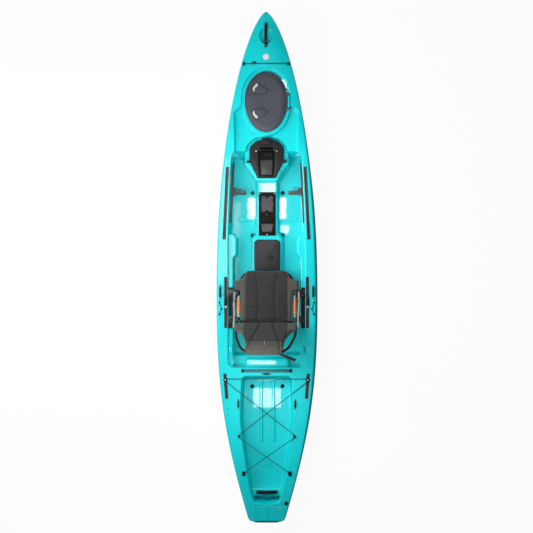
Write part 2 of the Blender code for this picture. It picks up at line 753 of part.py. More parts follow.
EYE_SIZE = (0.022, 0.030, 0.013)
cord_run = []
for k in range(33):
    x = (EYE_FORE_X - 0.006) * (2.0 * k / 32.0 - 1.0)
    cord_run.append((x, EYE_FORE_Y, deck(x, EYE_FORE_Y) + BUNGEE_R + 0.0012))
bow_bungee = tube("bow_bungee", cord_run, BUNGEE_R, 2)
finish(bow_bungee, (0.03, 0.03, 0.035), 0.8)
for tag, sign in SIDES:
    z = deck(EYE_FORE_X, EYE_FORE_Y) - 0.003
    eye = block("bow_eye_" + tag, EYE_SIZE, (sign * EYE_FORE_X, EYE_FORE_Y,
                                             z + EYE_SIZE[2] / 2.0), 0.003)
    end = Vector(cord_run[-1 if sign > 0 else 0])
    ahead = Vector(cord_run[-4 if sign > 0 else 3])
    hole = drum("bow_eye_hole_" + tag, BUNGEE_R + GAP, 0.04, (0.0, 0.0, 0.0), "Z", 12)
    way = (ahead - end).normalized()
    hole.rotation_mode = "QUATERNION"
    hole.rotation_quaternion = way.to_track_quat("Z", "Y")
    hole.location = end + way * (0.02 - GAP)
    boolean(eye, hole)
    finish(eye, (0.04, 0.04, 0.045), 0.55)
    pocket = slab("bow_eye_seat_" + tag, (EYE_SIZE[0] + 2 * GAP, EYE_SIZE[1] + 2 * GAP, 0.04),
                  (sign * EYE_FORE_X, EYE_FORE_Y, z + 0.02 - GAP))
    seats.append(cutter(pocket))
HOOK_X = -0.104
hook_z = deck(HOOK_X, EYE_FORE_Y) + BUNGEE_R + 0.0012
slope = math.atan2(cord_run[8][2] - cord_run[6][2], cord_run[8][0] - cord_run[6][0])
hook = block("bow_bungee_hook", (0.034, 0.020, 0.012), (HOOK_X, EYE_FORE_Y + 0.004,
                                                        hook_z + 0.0030), 0.003)
hook.rotation_euler.y = -slope
hook_bore = drum("hook_bore", BUNGEE_R + 0.0012, 0.05, (HOOK_X, EYE_FORE_Y, hook_z), "X", 12)
hook_bore.rotation_euler.y = -slope
boolean(hook, hook_bore)
finish(hook, (0.03, 0.03, 0.03), 0.5)

# Bow hatch: gasket, lid with a spigot, hinge bracket, pin and two turning levers
LID_BASE = HATCH_Z + 0.0036
LID_TOP = LID_BASE + 0.0235
LID_TOP_INSET = 0.045
HINGE_X = LID_HALF + 0.0095
HINGE_Z = HATCH_Z + 0.0115
KNUCKLE_R = 0.0075
PIN_R = 0.0030


def loops(name, levels):
    """Solid through copies of the hatch outline at stated offsets and heights."""
    return ring_solid(name, [[(p.x, p.y, z) for p in lid_outline(off)] for off, z in levels])


gasket = closed_rings("hatch_gasket", [
    [(p.x, p.y, z) for p in lid_outline(off)] for off, z in (
        (-0.017, HATCH_Z + 0.0033), (-0.017, HATCH_Z + GAP), (-0.006, HATCH_Z + GAP),
        (-0.006, HATCH_Z + 0.0033))])
finish(gasket, (0.05, 0.05, 0.05), 0.8)

lid = loops("hatch_lid", [(-0.036, LID_BASE + 0.010), (-0.033, HATCH_Z - 0.012),
                          (-0.027, HATCH_Z - 0.012), (-0.027, LID_BASE), (0.0, LID_BASE),
                          (0.0, LID_BASE + 0.009), (-0.007, LID_BASE + 0.016),
                          (-LID_TOP_INSET, LID_TOP)])
for k, y in enumerate((1.324, 1.446)):
    ear = drum("lid_ear_%d" % k, KNUCKLE_R, 0.018, (HINGE_X, y, HINGE_Z), "Y", 14)
    arm = slab("lid_arm_%d" % k, (0.026, 0.018, 0.006), (HINGE_X - 0.013, y, HINGE_Z + 0.0045))
    boolean(lid, ear, "UNION")
    boolean(lid, arm, "UNION")
boolean(lid, drum("lid_pin_way", PIN_R + GAP, 0.20, (HINGE_X, 1.385, HINGE_Z), "Y", 12))
bracket = drum("hatch_hinge", KNUCKLE_R, 0.095, (HINGE_X, 1.385, HINGE_Z), "Y", 14)
bracket_base = slab("hatch_hinge_base", (0.0175, 0.095, HINGE_Z - HATCH_Z - GAP),
                    (HINGE_X + 0.0035, 1.385, (HINGE_Z + HATCH_Z + GAP) / 2.0))
boolean(bracket, bracket_base, "UNION")
boolean(bracket, drum("bracket_pin_way", PIN_R + GAP, 0.20, (HINGE_X, 1.385, HINGE_Z), "Y", 12))
finish(bracket, (0.05, 0.05, 0.06), 0.5)
hinge_pin = drum("hatch_pin", PIN_R, 0.146, (HINGE_X, 1.385, HINGE_Z), "Y", 10)
finish(hinge_pin, (0.75, 0.75, 0.75), 0.3, 1.0)

LEVER_H = 0.011
LEVER_STEM = 0.006
LEVER_REACH = 0.117
LEVER_Y = 0.0895
LEVER_MID = 1.3885
for tag, sign in (("fore", 1.0), ("aft", -1.0)):
    y = LEVER_MID + sign * LEVER_Y
    outline = []
    for k in range(6):
        a = math.radians(140.0 + 10.0 * k)
        bulge = LEVER_REACH - 0.020 * abs(k - 3.2) / 3.2
        outline.append(Vector((bulge * math.cos(a), y + sign * bulge * math.sin(a))))
    for k in range(6):
        a = math.radians(-110.0 + 34.0 * k)
        outline.append(Vector((0.013 * math.cos(a), y + sign * 0.013 * math.sin(a))))
    lever = plate("hatch_lever_" + tag, outline, LID_TOP + GAP, LID_TOP + LEVER_H, 0.003)
    stem = drum("lever_stem_" + tag, LEVER_STEM, 0.014, (0.0, y, LID_TOP - 0.001), "Z", 12)
    boolean(lever, stem, "UNION")
    pivot(lever, (0.0, y, LID_TOP))
    boolean(lid, drum("lever_way_" + tag, LEVER_STEM + GAP, 0.020, (0.0, y, LID_TOP - 0.0015),
                      "Z", 12))
    finish(lever, (0.33, 0.34, 0.38), 0.4)
pivot(lid, (HINGE_X, 1.385, HINGE_Z))
finish(lid, (0.075, 0.080, 0.110), 0.45)

# Console: body on the pedestal, roller pin, lid that turns on it, two side latches
POD_TOP = POD_Z + 0.044
POD_FLOOR = POD_Z + 0.012
ROLLER_Y = 0.985
ROLLER_Z = POD_Z + 0.0295
ROLLER_R = 0.009
ROLLER_HALF = 0.078
POD = [(0.0, 1.062, 0), (0.085, 1.062, 0.05), (0.142, 1.005, 0.05), (0.142, 0.890, 0.04),
       (0.075, 0.748, 0.02)]
POD_WELL_HALF = 0.070
POD_LID_HALF = 0.058
body = plate("console_body", mirrored(POD, 0.5), POD_Z + GAP, POD_TOP, 0.008)
boolean(body, slab("pod_well", (2.0 * POD_WELL_HALF, 0.243, 0.06),
                   (0.0, 0.8855, POD_FLOOR + 0.03)))
boolean(body, drum("roller_way", ROLLER_R + GAP, 2.0 * (ROLLER_HALF + GAP),
                   (0.0, ROLLER_Y, ROLLER_Z), "X", 16))
boolean(body, slab("pod_tab", (0.078, 0.016, 0.03), (0.0, 1.062, POD_TOP + 0.006)), "UNION")
finish(body, (0.035, 0.035, 0.038), 0.5)
roller = drum("console_pin", ROLLER_R, 2.0 * ROLLER_HALF, (0.0, ROLLER_Y, ROLLER_Z), "X", 16)
finish(roller, (0.16, 0.15, 0.15), 0.4)
pod_lid = slab("console_lid", (2.0 * POD_LID_HALF, 0.212, 0.014),
               (0.0, ROLLER_Y - 0.110, POD_FLOOR + 0.008))
boolean(pod_lid, drum("lid_barrel", ROLLER_R + 0.004, 0.104, (0.0, ROLLER_Y, ROLLER_Z), "X",
                      16), "UNION")
boolean(pod_lid, drum("lid_barrel_way", ROLLER_R + GAP, 0.2, (0.0, ROLLER_Y, ROLLER_Z), "X",
                      16))
pivot(pod_lid, (0.0, ROLLER_Y, ROLLER_Z))
finish(pod_lid, (0.20, 0.18, 0.18), 0.5)
LATCH_X = 0.1560
LATCH_Y = 0.885
for tag, sign in SIDES:
    latch = drum("console_latch_" + tag, 0.0085, POD_TOP + GAP - POD_Z - GAP + 0.006,
                 (sign * LATCH_X, LATCH_Y, (POD_TOP + POD_Z + GAP + 0.006 + GAP) / 2.0), "Z", 14)
    nose = block("latch_nose_" + tag, (0.046, 0.020, 0.006),
                 (sign * (LATCH_X - 0.013), LATCH_Y, POD_TOP + GAP + 0.003), 0.0015)
    boolean(latch, nose, "UNION")
    finish(latch, (0.04, 0.04, 0.04), 0.5)

# Centre tray on the ridge: pad, clamp knob and hinged latch
TRAY = (0.142, 0.366, 0.016)
TRAY_Y = 0.453
TRAY_FLOOR = RIDGE_Z + GAP + 0.006
TRAY_TOP = RIDGE_Z + GAP + TRAY[2]
tray = slab("centre_tray", TRAY, (0.0, TRAY_Y, RIDGE_Z + GAP + TRAY[2] / 2.0))
boolean(tray, slab("tray_well", (0.126, 0.318, 0.04), (0.0, TRAY_Y, TRAY_FLOOR + 0.02)))
boolean(tray, block("tray_island", (0.108, 0.048, 0.022), (0.0, 0.404, TRAY_FLOOR + 0.010),
                    0.003), "UNION")
finish(tray, (0.045, 0.045, 0.048), 0.55)
pad = plate("centre_pad", rounded([(0.050, 0.602, 0.008), (0.016, 0.602, 0.012),
                                   (0.0, 0.580, 0.016), (-0.016, 0.602, 0.012),
                                   (-0.050, 0.602, 0.008), (-0.054, 0.525, 0.03),
                                   (-0.050, 0.470, 0.008), (0.050, 0.470, 0.008),
                                   (0.054, 0.525, 0.03)], 0.5),
            TRAY_FLOOR + GAP, TRAY_FLOOR + 0.0065, 0.0015)
finish(pad, (0.30, 0.30, 0.31), 0.7)
knob = turned("centre_knob", [(0.007, 0.0), (0.007, 0.006), (0.014, 0.007), (0.014, 0.016),
                              (0.012, 0.019)], (0.0, 0.449, TRAY_FLOOR + GAP), 16)
finish(knob, (0.05, 0.05, 0.05), 0.5)
latch = plate("centre_latch", rounded([(0.050, 0.366, 0.004), (-0.050, 0.366, 0.004),
                                       (-0.040, 0.300, 0.008), (0.040, 0.300, 0.008)], 0.5),
              TRAY_FLOOR + 0.006, TRAY_FLOOR + 0.014, 0.002)
boolean(latch, drum("latch_barrel", 0.0055, 0.104, (0.0, 0.3660, TRAY_FLOOR + 0.0060), "X", 12),
        "UNION")
pivot(latch, (0.0, 0.3660, TRAY_FLOOR + 0.0060))
finish(latch, (0.10, 0.10, 0.105), 0.45)

# Mid hatch: lid over the opening in the ridge, with a turning plug
MID_Y = (0.2360, -0.0230)
MID_HALF = 0.1085
MID_TOP = RIDGE_Z + 0.032
mid = plate("mid_hatch_lid", rounded([(MID_HALF, MID_Y[0], 0.035), (-MID_HALF, MID_Y[0], 0.035),
                                      (-MID_HALF, MID_Y[1], 0.012), (MID_HALF, MID_Y[1], 0.012)],
                                     0.5), RIDGE_Z + GAP, MID_TOP, 0.010)
boolean(mid, slab("mid_spigot", (0.1494, 0.1684, 0.03), (0.0, 0.1055, RIDGE_Z + 0.001)), "UNION")
boolean(mid, slab("mid_under", (0.138, 0.157, 0.05), (0.0, 0.1055, RIDGE_Z - 0.0010)))
PLUG = (0.0326, 0.0869, 0.021)
boolean(mid, drum("plug_way", PLUG[2] + GAP, 0.03, (PLUG[0], PLUG[1], MID_TOP), "Z", 20))
pivot(mid, (0.0, MID_Y[0], RIDGE_Z + GAP))
finish(mid, (0.05, 0.048, 0.052), 0.6)
plug = drum("mid_hatch_plug", PLUG[2], 0.010, (PLUG[0], PLUG[1], MID_TOP - 0.001), "Z", 20)
boolean(plug, block("plug_bar", (0.030, 0.007, 0.008), (PLUG[0], PLUG[1], MID_TOP + 0.006),
                    0.002), "UNION")
finish(plug, (0.04, 0.04, 0.045), 0.5)

# Seat: rails on the ledges, bent tube frame on slides, knobs that clamp it
FRAME_R = 0.011
FRAME_Z = 0.285
FRAME_HALF = 0.235
FRAME_FRONT = -0.036
FRAME_BACK = -0.452
FRAME_NOSE = FRAME_HALF - 0.065
HINGE_Y = -0.470
HINGE_HEIGHT = 0.335
LUG_X = FRAME_HALF - 0.045
LUG_SIZE = (0.016, FRAME_BACK - HINGE_Y + 0.016, HINGE_HEIGHT - FRAME_Z + 0.020)
RECLINE = math.radians(25.0)
SLIDE_YS = (-0.215, -0.433)
SLIDE_LONGS = (0.070, 0.056)
SLIDE_SPAN = (FRAME_HALF + 0.001, SEAT_RAIL_X + 0.017)
SLIDE_THICK = 0.007
rail_top = LEDGE_Z + GAP + SEAT_RAIL_H
for tag, sign in SIDES:
    half, web, lip, slot = SEAT_RAIL_W / 2.0, 0.004, 0.006, 0.011
    rail = extruded("seat_rail_" + tag, [
        (-half, 0.0), (half, 0.0), (half, SEAT_RAIL_H), (lip, SEAT_RAIL_H),
        (lip, SEAT_RAIL_H - web), (slot, SEAT_RAIL_H - web), (slot, web), (-slot, web),
        (-slot, SEAT_RAIL_H - web), (-lip, SEAT_RAIL_H - web), (-lip, SEAT_RAIL_H),
        (-half, SEAT_RAIL_H)], (SEAT_RAIL_ENDS[0] - SEAT_RAIL_ENDS[1]) / 2.0)
    rail.location = (sign * SEAT_RAIL_X, sum(SEAT_RAIL_ENDS) / 2.0, LEDGE_Z + GAP)
    finish(rail, (0.045, 0.045, 0.05), 0.55)
corners = [(0.0, FRAME_BACK, FRAME_Z, 0.0), (FRAME_HALF, FRAME_BACK, FRAME_Z, 0.04),
           (FRAME_HALF, FRAME_FRONT - 0.089, FRAME_Z, 0.03),
           (FRAME_NOSE, FRAME_FRONT, FRAME_Z, 0.045), (0.0, FRAME_FRONT, FRAME_Z, 0.0)]
path = fillet_path(corners, 3)
path += [Vector((-p.x, p.y, p.z)) for p in path[-2:0:-1]]
frame = solid_tube("seat_frame", path, FRAME_R, 8, True)
for tag, sign in SIDES:
    for k, (y, long) in enumerate(zip(SLIDE_YS, SLIDE_LONGS)):
        foot = slab("slide_%s_%d" % (tag, k), (SLIDE_SPAN[1] - SLIDE_SPAN[0], long, SLIDE_THICK),
                    (sign * sum(SLIDE_SPAN) / 2.0, y, rail_top + GAP + SLIDE_THICK / 2.0))
        boolean(frame, foot, "UNION")
        shoe = slab("shoe_%s_%d" % (tag, k), (0.0110, 0.050, 0.012),
                    (sign * SEAT_RAIL_X, y, rail_top - 0.0050))
        boolean(frame, shoe, "UNION")
    lug = slab("back_lug_" + tag, LUG_SIZE,
               (sign * LUG_X, HINGE_Y - 0.014 + LUG_SIZE[1] / 2.0,
                FRAME_Z - 0.005 + LUG_SIZE[2] / 2.0))
    boolean(frame, lug, "UNION")
    boolean(frame, drum("lug_bore_" + tag, FRAME_R + GAP, 0.05,
                        (sign * LUG_X, HINGE_Y, HINGE_HEIGHT), "X", 16))
finish(frame, (0.07, 0.07, 0.07), 0.45)
SLEEVE_ENDS = (SLIDE_YS[0] - SLIDE_LONGS[0] / 2.0 - 0.013,
               SLIDE_YS[1] + SLIDE_LONGS[1] / 2.0 + 0.014)
for tag, sign in SIDES:
    knob = turned("rail_knob_" + tag, [(0.008, 0.0), (0.008, 0.005), (0.013, 0.006),
                                       (0.015, 0.016), (0.010, 0.019)],
                  (sign * SEAT_RAIL_X, SLIDE_YS[0] - 0.015,
                   rail_top + SLIDE_THICK + 2.0 * GAP), 14)
    finish(knob, (0.04, 0.04, 0.045), 0.5)
    sleeve = drum("seat_sleeve_" + tag, FRAME_R + 0.0035, SLEEVE_ENDS[0] - SLEEVE_ENDS[1],
                  (sign * FRAME_HALF, sum(SLEEVE_ENDS) / 2.0, FRAME_Z), "Y", 14)
    boolean(sleeve, drum("sleeve_bore_" + tag, FRAME_R + GAP, 0.2,
                         (sign * FRAME_HALF, sum(SLEEVE_ENDS) / 2.0, FRAME_Z), "Y", 14))
    finish(sleeve, (1.0, 0.19, 0.01), 0.5)

# Padded seat: crown, drawn-in sides and sewn channels are in the solid itself


def padded(name, rows, columns, shape):
    """Closed cushion: a grid for its face and one flat underside below the grid's edge."""
    bm = bmesh.new()
    grid = [[bm.verts.new(shape(v, u, True)) for u in columns] for v in rows]
    for near, ahead in zip(grid, grid[1:]):
        for c in range(len(columns) - 1):
            bm.faces.new((near[c], near[c + 1], ahead[c + 1], ahead[c]))
    last_row, last_column = len(rows) - 1, len(columns) - 1
    edge = [(r, 0) for r in range(last_row)]
    edge += [(last_row, c) for c in range(last_column)]
    edge += [(r, last_column) for r in range(last_row, 0, -1)]
    edge += [(0, c) for c in range(last_column, 0, -1)]
    low = [bm.verts.new(shape(rows[r], columns[c], False)) for r, c in edge]
    for k, (r, c) in enumerate(edge):
        m = (k + 1) % len(edge)
        bm.faces.new((grid[r][c], grid[edge[m][0]][edge[m][1]], low[m], low[k]))
    bm.faces.new(low)
    return from_bmesh(name, bm)


def stations(points, value):
    """Straight-line reading of a short list of position and size pairs."""
    for (a, low), (b, high) in zip(points, points[1:]):
        if value <= b:
            return low + (high - low) * max(0.0, (value - a) / (b - a))
    return points[-1][1]


CHANNEL_DEEP = 0.007
CHANNEL_HALF = 0.012
COLUMNS = [-1.0, -0.965, -0.86, -0.7]
COLUMNS += ["left out", "left", "left in", -0.16, 0.0, 0.16, "right in", "right", "right out"]
COLUMNS += [0.7, 0.86, 0.965, 1.0]


def across(column, half, seam):
    """Distance across the cushion for a column: inside a seam, along it, or from it to the edge."""
    if isinstance(column, float):
        if abs(column) < 0.5:
            return column * half
        edge = seam + CHANNEL_HALF
        return math.copysign(edge + (half - edge) * (2.0 * abs(column) - 1.0), column)
    sign = -1.0 if column.startswith("left") else 1.0
    step = 0.0
    if column.endswith(" out"):
        step = CHANNEL_HALF
    if column.endswith(" in"):
        step = -CHANNEL_HALF
    return sign * (seam + step)


SEAT_BASE = FRAME_Z + FRAME_R + GAP
SEAT_THICK = 0.026
SEAT_CROWN = 0.010
SEAT_SEAM_Y = -0.323
SEAT_AFT = FRAME_BACK + 0.0035
SEAT_FORE = FRAME_FRONT + 0.010
WAIST = (-0.434, -0.186)
WING = (WAIST[1] + 0.004, WAIST[1] + 0.076)
SEAT_HALF = [(SEAT_AFT, FRAME_HALF + 0.011), (WAIST[0] - 0.002, FRAME_HALF + 0.023),
             (WAIST[0], FRAME_HALF - 0.023), (WAIST[1], FRAME_HALF - 0.020),
             (WING[0], FRAME_HALF + 0.033), (WING[1], FRAME_HALF + 0.033),
             (WING[1] + 0.004, FRAME_HALF - 0.045), (SEAT_FORE, FRAME_HALF - 0.071)]
SEAT_ROWS = [SEAT_AFT, SEAT_AFT + 0.0055, WAIST[0] - 0.002, WAIST[0], WAIST[0] + 0.049,
             SEAT_SEAM_Y - 0.022, SEAT_SEAM_Y - 0.012, SEAT_SEAM_Y, SEAT_SEAM_Y + 0.012,
             SEAT_SEAM_Y + 0.023, (SEAT_SEAM_Y + WAIST[1]) / 2.0, WAIST[1], WING[0],
             (WING[0] + WING[1]) / 2.0, WING[1], WING[1] + 0.004, SEAT_FORE - 0.044,
             SEAT_FORE - 0.010, SEAT_FORE]
SEAT_SEAM = [(SEAT_AFT, 0.086), (-0.30, 0.066), (-0.15, 0.070), (SEAT_FORE, 0.100)]


def seat_point(y, column, padding):
    """Corner of the seat cushion."""
    half = stations(SEAT_HALF, y)
    x = across(column, half, stations(SEAT_SEAM, y))
    share = min(1.0, abs(x) / half)
    ends = min(1.0, (y - SEAT_AFT) / 0.03, (SEAT_FORE - y) / 0.03)
    body = min(1.0, 4.0 * (1.0 - share)) * ends
    if not padding:
        return (x, y, SEAT_BASE)
    z = SEAT_BASE + 0.008 + (SEAT_THICK - 0.008) * body ** 0.5
    z += SEAT_CROWN * (1.0 - share ** 2) * ends
    if column in ("left", "right") or y == SEAT_SEAM_Y:
        z -= CHANNEL_DEEP * min(1.0, 3.0 * body)
    return (x, y, z)


cushion = padded("seat_cushion", SEAT_ROWS, COLUMNS, seat_point)
finish(cushion, (0.055, 0.055, 0.056), 0.9)

# Back: a bent tube that turns in the frame's lugs, with its own padded cover in front
BACK_TALL = 0.520
BACK_HALF = FRAME_HALF - 0.003
BACK_TOP_HALF = 0.150
hinge = bpy.data.objects.new("back_hinge", None)
bpy.context.scene.collection.objects.link(hinge)
hinge.location = (0.0, HINGE_Y, HINGE_HEIGHT)
hinge.rotation_euler.x = RECLINE
corners = [(0.0, 0.0, 0.0, 0.0), (BACK_HALF, 0.0, 0.0, 0.03),
           (BACK_HALF + 0.030, 0.0, 0.130, 0.06),
           (BACK_TOP_HALF + 0.03, -0.01, BACK_TALL - 0.04, 0.05),
           (BACK_TOP_HALF - 0.03, -0.01, BACK_TALL, 0.03), (0.0, -0.01, BACK_TALL, 0.0)]
path = fillet_path(corners, 3)
path += [Vector((-p.x, p.y, p.z)) for p in path[-2:0:-1]]
back_frame = tube("back_frame", path, FRAME_R, 2, True)
back_frame.parent = hinge
finish(back_frame, (0.05, 0.05, 0.05), 0.45)

PAD_FACE = FRAME_R + GAP
PAD_THICK = 0.024
PAD_FOOT = 0.045
PAD_TOP = BACK_TALL - 0.008
BACK_WAIST = PAD_FOOT + 0.205
WAIST_UP = PAD_TOP - BACK_WAIST
BACK_WIDTHS = [(PAD_FOOT, BACK_HALF - 0.017), (PAD_FOOT + 0.040, BACK_HALF + 0.030),
               (PAD_FOOT + 0.130, BACK_HALF + 0.027), (PAD_FOOT + 0.138, BACK_HALF - 0.018),
               (BACK_WAIST, BACK_HALF - 0.042), (BACK_WAIST + 0.30 * WAIST_UP,
                                                 BACK_TOP_HALF + 0.018),
               (BACK_WAIST + 0.61 * WAIST_UP, BACK_TOP_HALF + 0.010),
               (PAD_TOP, BACK_TOP_HALF + 0.007)]
BACK_SEAM_V = 0.302
BACK_ROWS = sorted([v for v, half in BACK_WIDTHS] + [
    PAD_FOOT + 0.010, PAD_FOOT + 0.085, PAD_FOOT + 0.170, BACK_SEAM_V - 0.012, BACK_SEAM_V,
    BACK_SEAM_V + 0.012, PAD_TOP - 0.050, PAD_TOP - 0.012])
BACK_SEAM = [(PAD_FOOT, 0.060), (BACK_WAIST, 0.084), (PAD_TOP, 0.118)]


def back_point(v, column, padding):
    """Corner of the back cushion, in the plane of the back."""
    half = stations(BACK_WIDTHS, v)
    x = across(column, half, stations(BACK_SEAM, v))
    share = min(1.0, abs(x) / half)
    ends = min(1.0, (v - PAD_FOOT) / 0.03, (PAD_TOP - v) / 0.03)
    body = min(1.0, 4.0 * (1.0 - share)) * ends
    if not padding:
        return (x, PAD_FACE, v)
    y = PAD_FACE + 0.007 + (PAD_THICK - 0.007) * body ** 0.5
    y += 0.008 * (1.0 - share ** 2) * ends
    if column in ("left", "right") or v == BACK_SEAM_V:
        y -= CHANNEL_DEEP * min(1.0, 3.0 * body)
    return (x, y, v)


back_cover = padded("back_cushion", BACK_ROWS, COLUMNS, back_point)
back_cover.parent = hinge
finish(back_cover, (0.055, 0.055, 0.056), 0.9)

# Side and stern carry handles, bar and pad-eyes of the after deck
SIDE_SPAN = 0.110
for tag, sign in SIDES:
    x, y = sign * SIDE_GRIP[0], SIDE_GRIP[1]
    ends = [on_deck(x, y + step, 0.002) for step in (-SIDE_SPAN / 2.0, SIDE_SPAN / 2.0)]
    handle = arch("side_handle_" + tag, SIDE_SPAN, 0.020, 0.016, 0.007, HANDLE_FOOT)
    between(handle, *ends)
    finish(handle, (0.05, 0.045, 0.05), 0.55)
    seat_for("side_handle_fore_" + tag, (0.016, 0.03), ends[0],
             ends[0].lerp(ends[1], (HANDLE_FOOT + FOOT_RELIEF) / SIDE_SPAN), GAP)
    seat_for("side_handle_aft_" + tag, (0.016, 0.03),
             ends[0].lerp(ends[1], 1.0 - (HANDLE_FOOT + FOOT_RELIEF) / SIDE_SPAN), ends[1], GAP)
    eye = arch("tank_eye_" + tag, 0.080, 0.014, 0.014, 0.006, 0.016)
    eye.location = (sign * TANK_EYE[0], TANK_EYE[1], SHEER_MID + GAP)
    finish(eye, (0.04, 0.04, 0.04), 0.55)

stern_grip = arch("stern_handle", 0.184, 0.026, 0.028, 0.009, 0.024)
stern_grip.location = (0.0, STERN_GRIP_Y, BRIDGE_TOP + GAP)
stern_grip.rotation_euler.z = math.pi / 2.0
finish(stern_grip, (0.06, 0.05, 0.055), 0.5)
bar = block("rear_bar", (0.415, 0.024, 0.012), (0.0, -0.8615, SHEER_MID + GAP + 0.006), 0.004)
finish(bar, (0.10, 0.10, 0.11), 0.6)

# Stern bungee: one cord laced round four studs, its ends held in two blocks
STUD_NECK = 0.0050
STUD_HEAD = 0.0110
STUD_BASE = 0.0120
BASE_TALL = 0.004
NECK_TALL = BASE_TALL + 2.0 * BUNGEE_R + 0.002
WRAP = STUD_NECK + BUNGEE_R + 0.0006
track_x0, track_y0 = TRACKS["rear"][0]
track_x1, track_y1 = TRACKS["rear"][1]
stud_x = track_x0 + (track_x1 - track_x0) * (track_y0 - STUD_TRACK_Y) / (track_y0 - track_y1)
stud_profile = [(STUD_BASE, 0.0), (STUD_BASE, BASE_TALL), (STUD_NECK, BASE_TALL),
                (STUD_NECK, NECK_TALL), (STUD_HEAD, NECK_TALL), (STUD_HEAD, NECK_TALL + 0.003),
                (STUD_HEAD - 0.004, NECK_TALL + 0.005)]
for tag, sign in SIDES:
    for place, x, y in (("fore", stud_x, STUD_TRACK_Y), ("mid", STUD_MID[0], STUD_MID[1])):
        stud = turned("bungee_stud_%s_%s" % (place, tag), stud_profile,
                      (sign * x, y, SHEER_MID + GAP), 10)
        finish(stud, (0.04, 0.04, 0.045), 0.5)
    clamp = block("bungee_end_" + tag, (0.026, 0.036, 0.014),
                  (sign * STUD_AFT[0], STUD_AFT[1], SHEER_MID + GAP + 0.007), 0.003)
    finish(clamp, (0.04, 0.04, 0.045), 0.5)


def tangent(centre, other, sign):
    """Point where a cord from another point meets the wrap circle on its outer side."""
    line = other - centre
    swing = math.acos(WRAP / line.length) * sign
    return centre + Matrix.Rotation(swing, 2) @ line.normalized() * WRAP


def wrapped(before, centre, after, sign):
    """Points of the cord round one stud."""
    first = tangent(centre, before, sign) - centre
    last = tangent(centre, after, -sign) - centre
    sweep = math.atan2(last.y, last.x) - math.atan2(first.y, first.x)
    while sweep * sign < 0.0:
        sweep += 2.0 * math.pi * sign
    while abs(sweep) > 2.0 * math.pi:
        sweep -= 2.0 * math.pi * sign
    steps = max(3, math.ceil(abs(sweep) / 0.55))
    return [centre + Matrix.Rotation(sweep * k / steps, 2) @ first for k in range(steps + 1)]


fore_right = Vector((stud_x, STUD_TRACK_Y))
fore_left = Vector((-stud_x, STUD_TRACK_Y))
mid_right = Vector(STUD_MID)
mid_left = Vector((-STUD_MID[0], STUD_MID[1]))
end_right = Vector(STUD_AFT)
end_left = Vector((-STUD_AFT[0], STUD_AFT[1]))
CORD_Z = SHEER_MID + GAP + BASE_TALL + BUNGEE_R + 0.0008
CROSS_LIFT = 0.0038
legs = [[end_left],
        wrapped(end_left, mid_right, fore_left, 1.0),
        wrapped(mid_right, fore_left, fore_right, -1.0),
        wrapped(fore_left, fore_right, mid_left, -1.0),
        wrapped(fore_right, mid_left, end_right, 1.0),
        [end_right]]
lace = []
for k, leg in enumerate(legs):
    if k:
        start, stop = lace[-1], leg[0]
        lift = (CROSS_LIFT, CROSS_LIFT, 0.0, -CROSS_LIFT, -CROSS_LIFT)[k - 1]
        for share in (0.15, 0.3, 0.42, 0.5, 0.58, 0.7, 0.85) if lift else (0.5,):
            p = start.xy.lerp(leg[0], share)
            lace.append(Vector((p.x, p.y, CORD_Z + lift * math.sin(math.pi * share))))
    lace += [Vector((p.x, p.y, CORD_Z)) for p in leg]
lace_cord = tube("stern_bungee", lace, BUNGEE_R, 2)
finish(lace_cord, (0.03, 0.03, 0.035), 0.8)
for tag, sign, end, ahead in (("left", -1.0, lace[0], lace[1]), ("right", 1.0, lace[-1],
                                                                 lace[-2])):
    way = (ahead - end).normalized()
    hole = drum("bungee_hole_" + tag, BUNGEE_R + GAP, 0.060, end + way * (0.030 - GAP), "Z", 12)
    hole.rotation_mode = "QUATERNION"
    hole.rotation_quaternion = way.to_track_quat("Z", "Y")
    boolean(bpy.data.objects["bungee_end_" + tag], hole)

# Drain plug in the stern deck
drain = turned("drain_plug", [(DRAIN_R, -0.016), (DRAIN_R, GAP), (0.016, GAP), (0.016, 0.005),
                              (0.012, 0.008)], (DRAIN[0], DRAIN[1], SHEER_MID), 16)
finish(drain, (0.05, 0.05, 0.05), 0.5)
seats.append(cutter(drum("drain_way", DRAIN_R + GAP, 0.05, (DRAIN[0], DRAIN[1], SHEER_MID),
                         "Z", 16)))

# Hull: outer form less the wells, then less the hollow inside the wall
hull = hull_form("hull", 0.0)
hollow = cutter(hull_form("hollow", WALL))
near = tools(0.0)
far = tools(WALL)
for k, y in enumerate((0.631, 0.272, -0.997)):
    for tag, sign in SIDES:
        for radius, depth, group in ((SCUPPER_R, 0.30, near), (SCUPPER_R + WALL, 0.34, far)):
            group.append(cutter(drum("scupper_%d_%s_%d" % (k, tag, depth * 100), radius, depth,
                                     (sign * SCUPPER_X, y, 0.10), "Z", 12)))
ways = [ring_solid("cut_hatch_way", [[(p.x, p.y, z) for p in lid_outline(-0.022)]
                                     for z in (HATCH_Z - 0.05, HATCH_Z + 0.09)]),
        slab("cut_mid_way", (0.15, 0.17, 0.08), (0.0, 0.105, RIDGE_Z))]
boolean(hull, gather("wells", [cutter(tool) for tool in near + seats]))
boolean(hollow, gather("wells_far", [cutter(tool) for tool in far + channels]))
boolean(hull, hollow)
boolean(hull, gather("ways", [cutter(tool) for tool in ways]))
finish(hull, (0.0, 0.72, 0.75), 0.35)
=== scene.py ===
"""Looks of a sit-on-top fishing kayak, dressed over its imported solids.

Metres, +Z up, bow at +Y, starboard at +X, keel on Z = 0.
"""

import logging
import math
from dataclasses import dataclass
from enum import Enum

import bmesh
import bpy
from mathutils import Matrix, Vector, noise


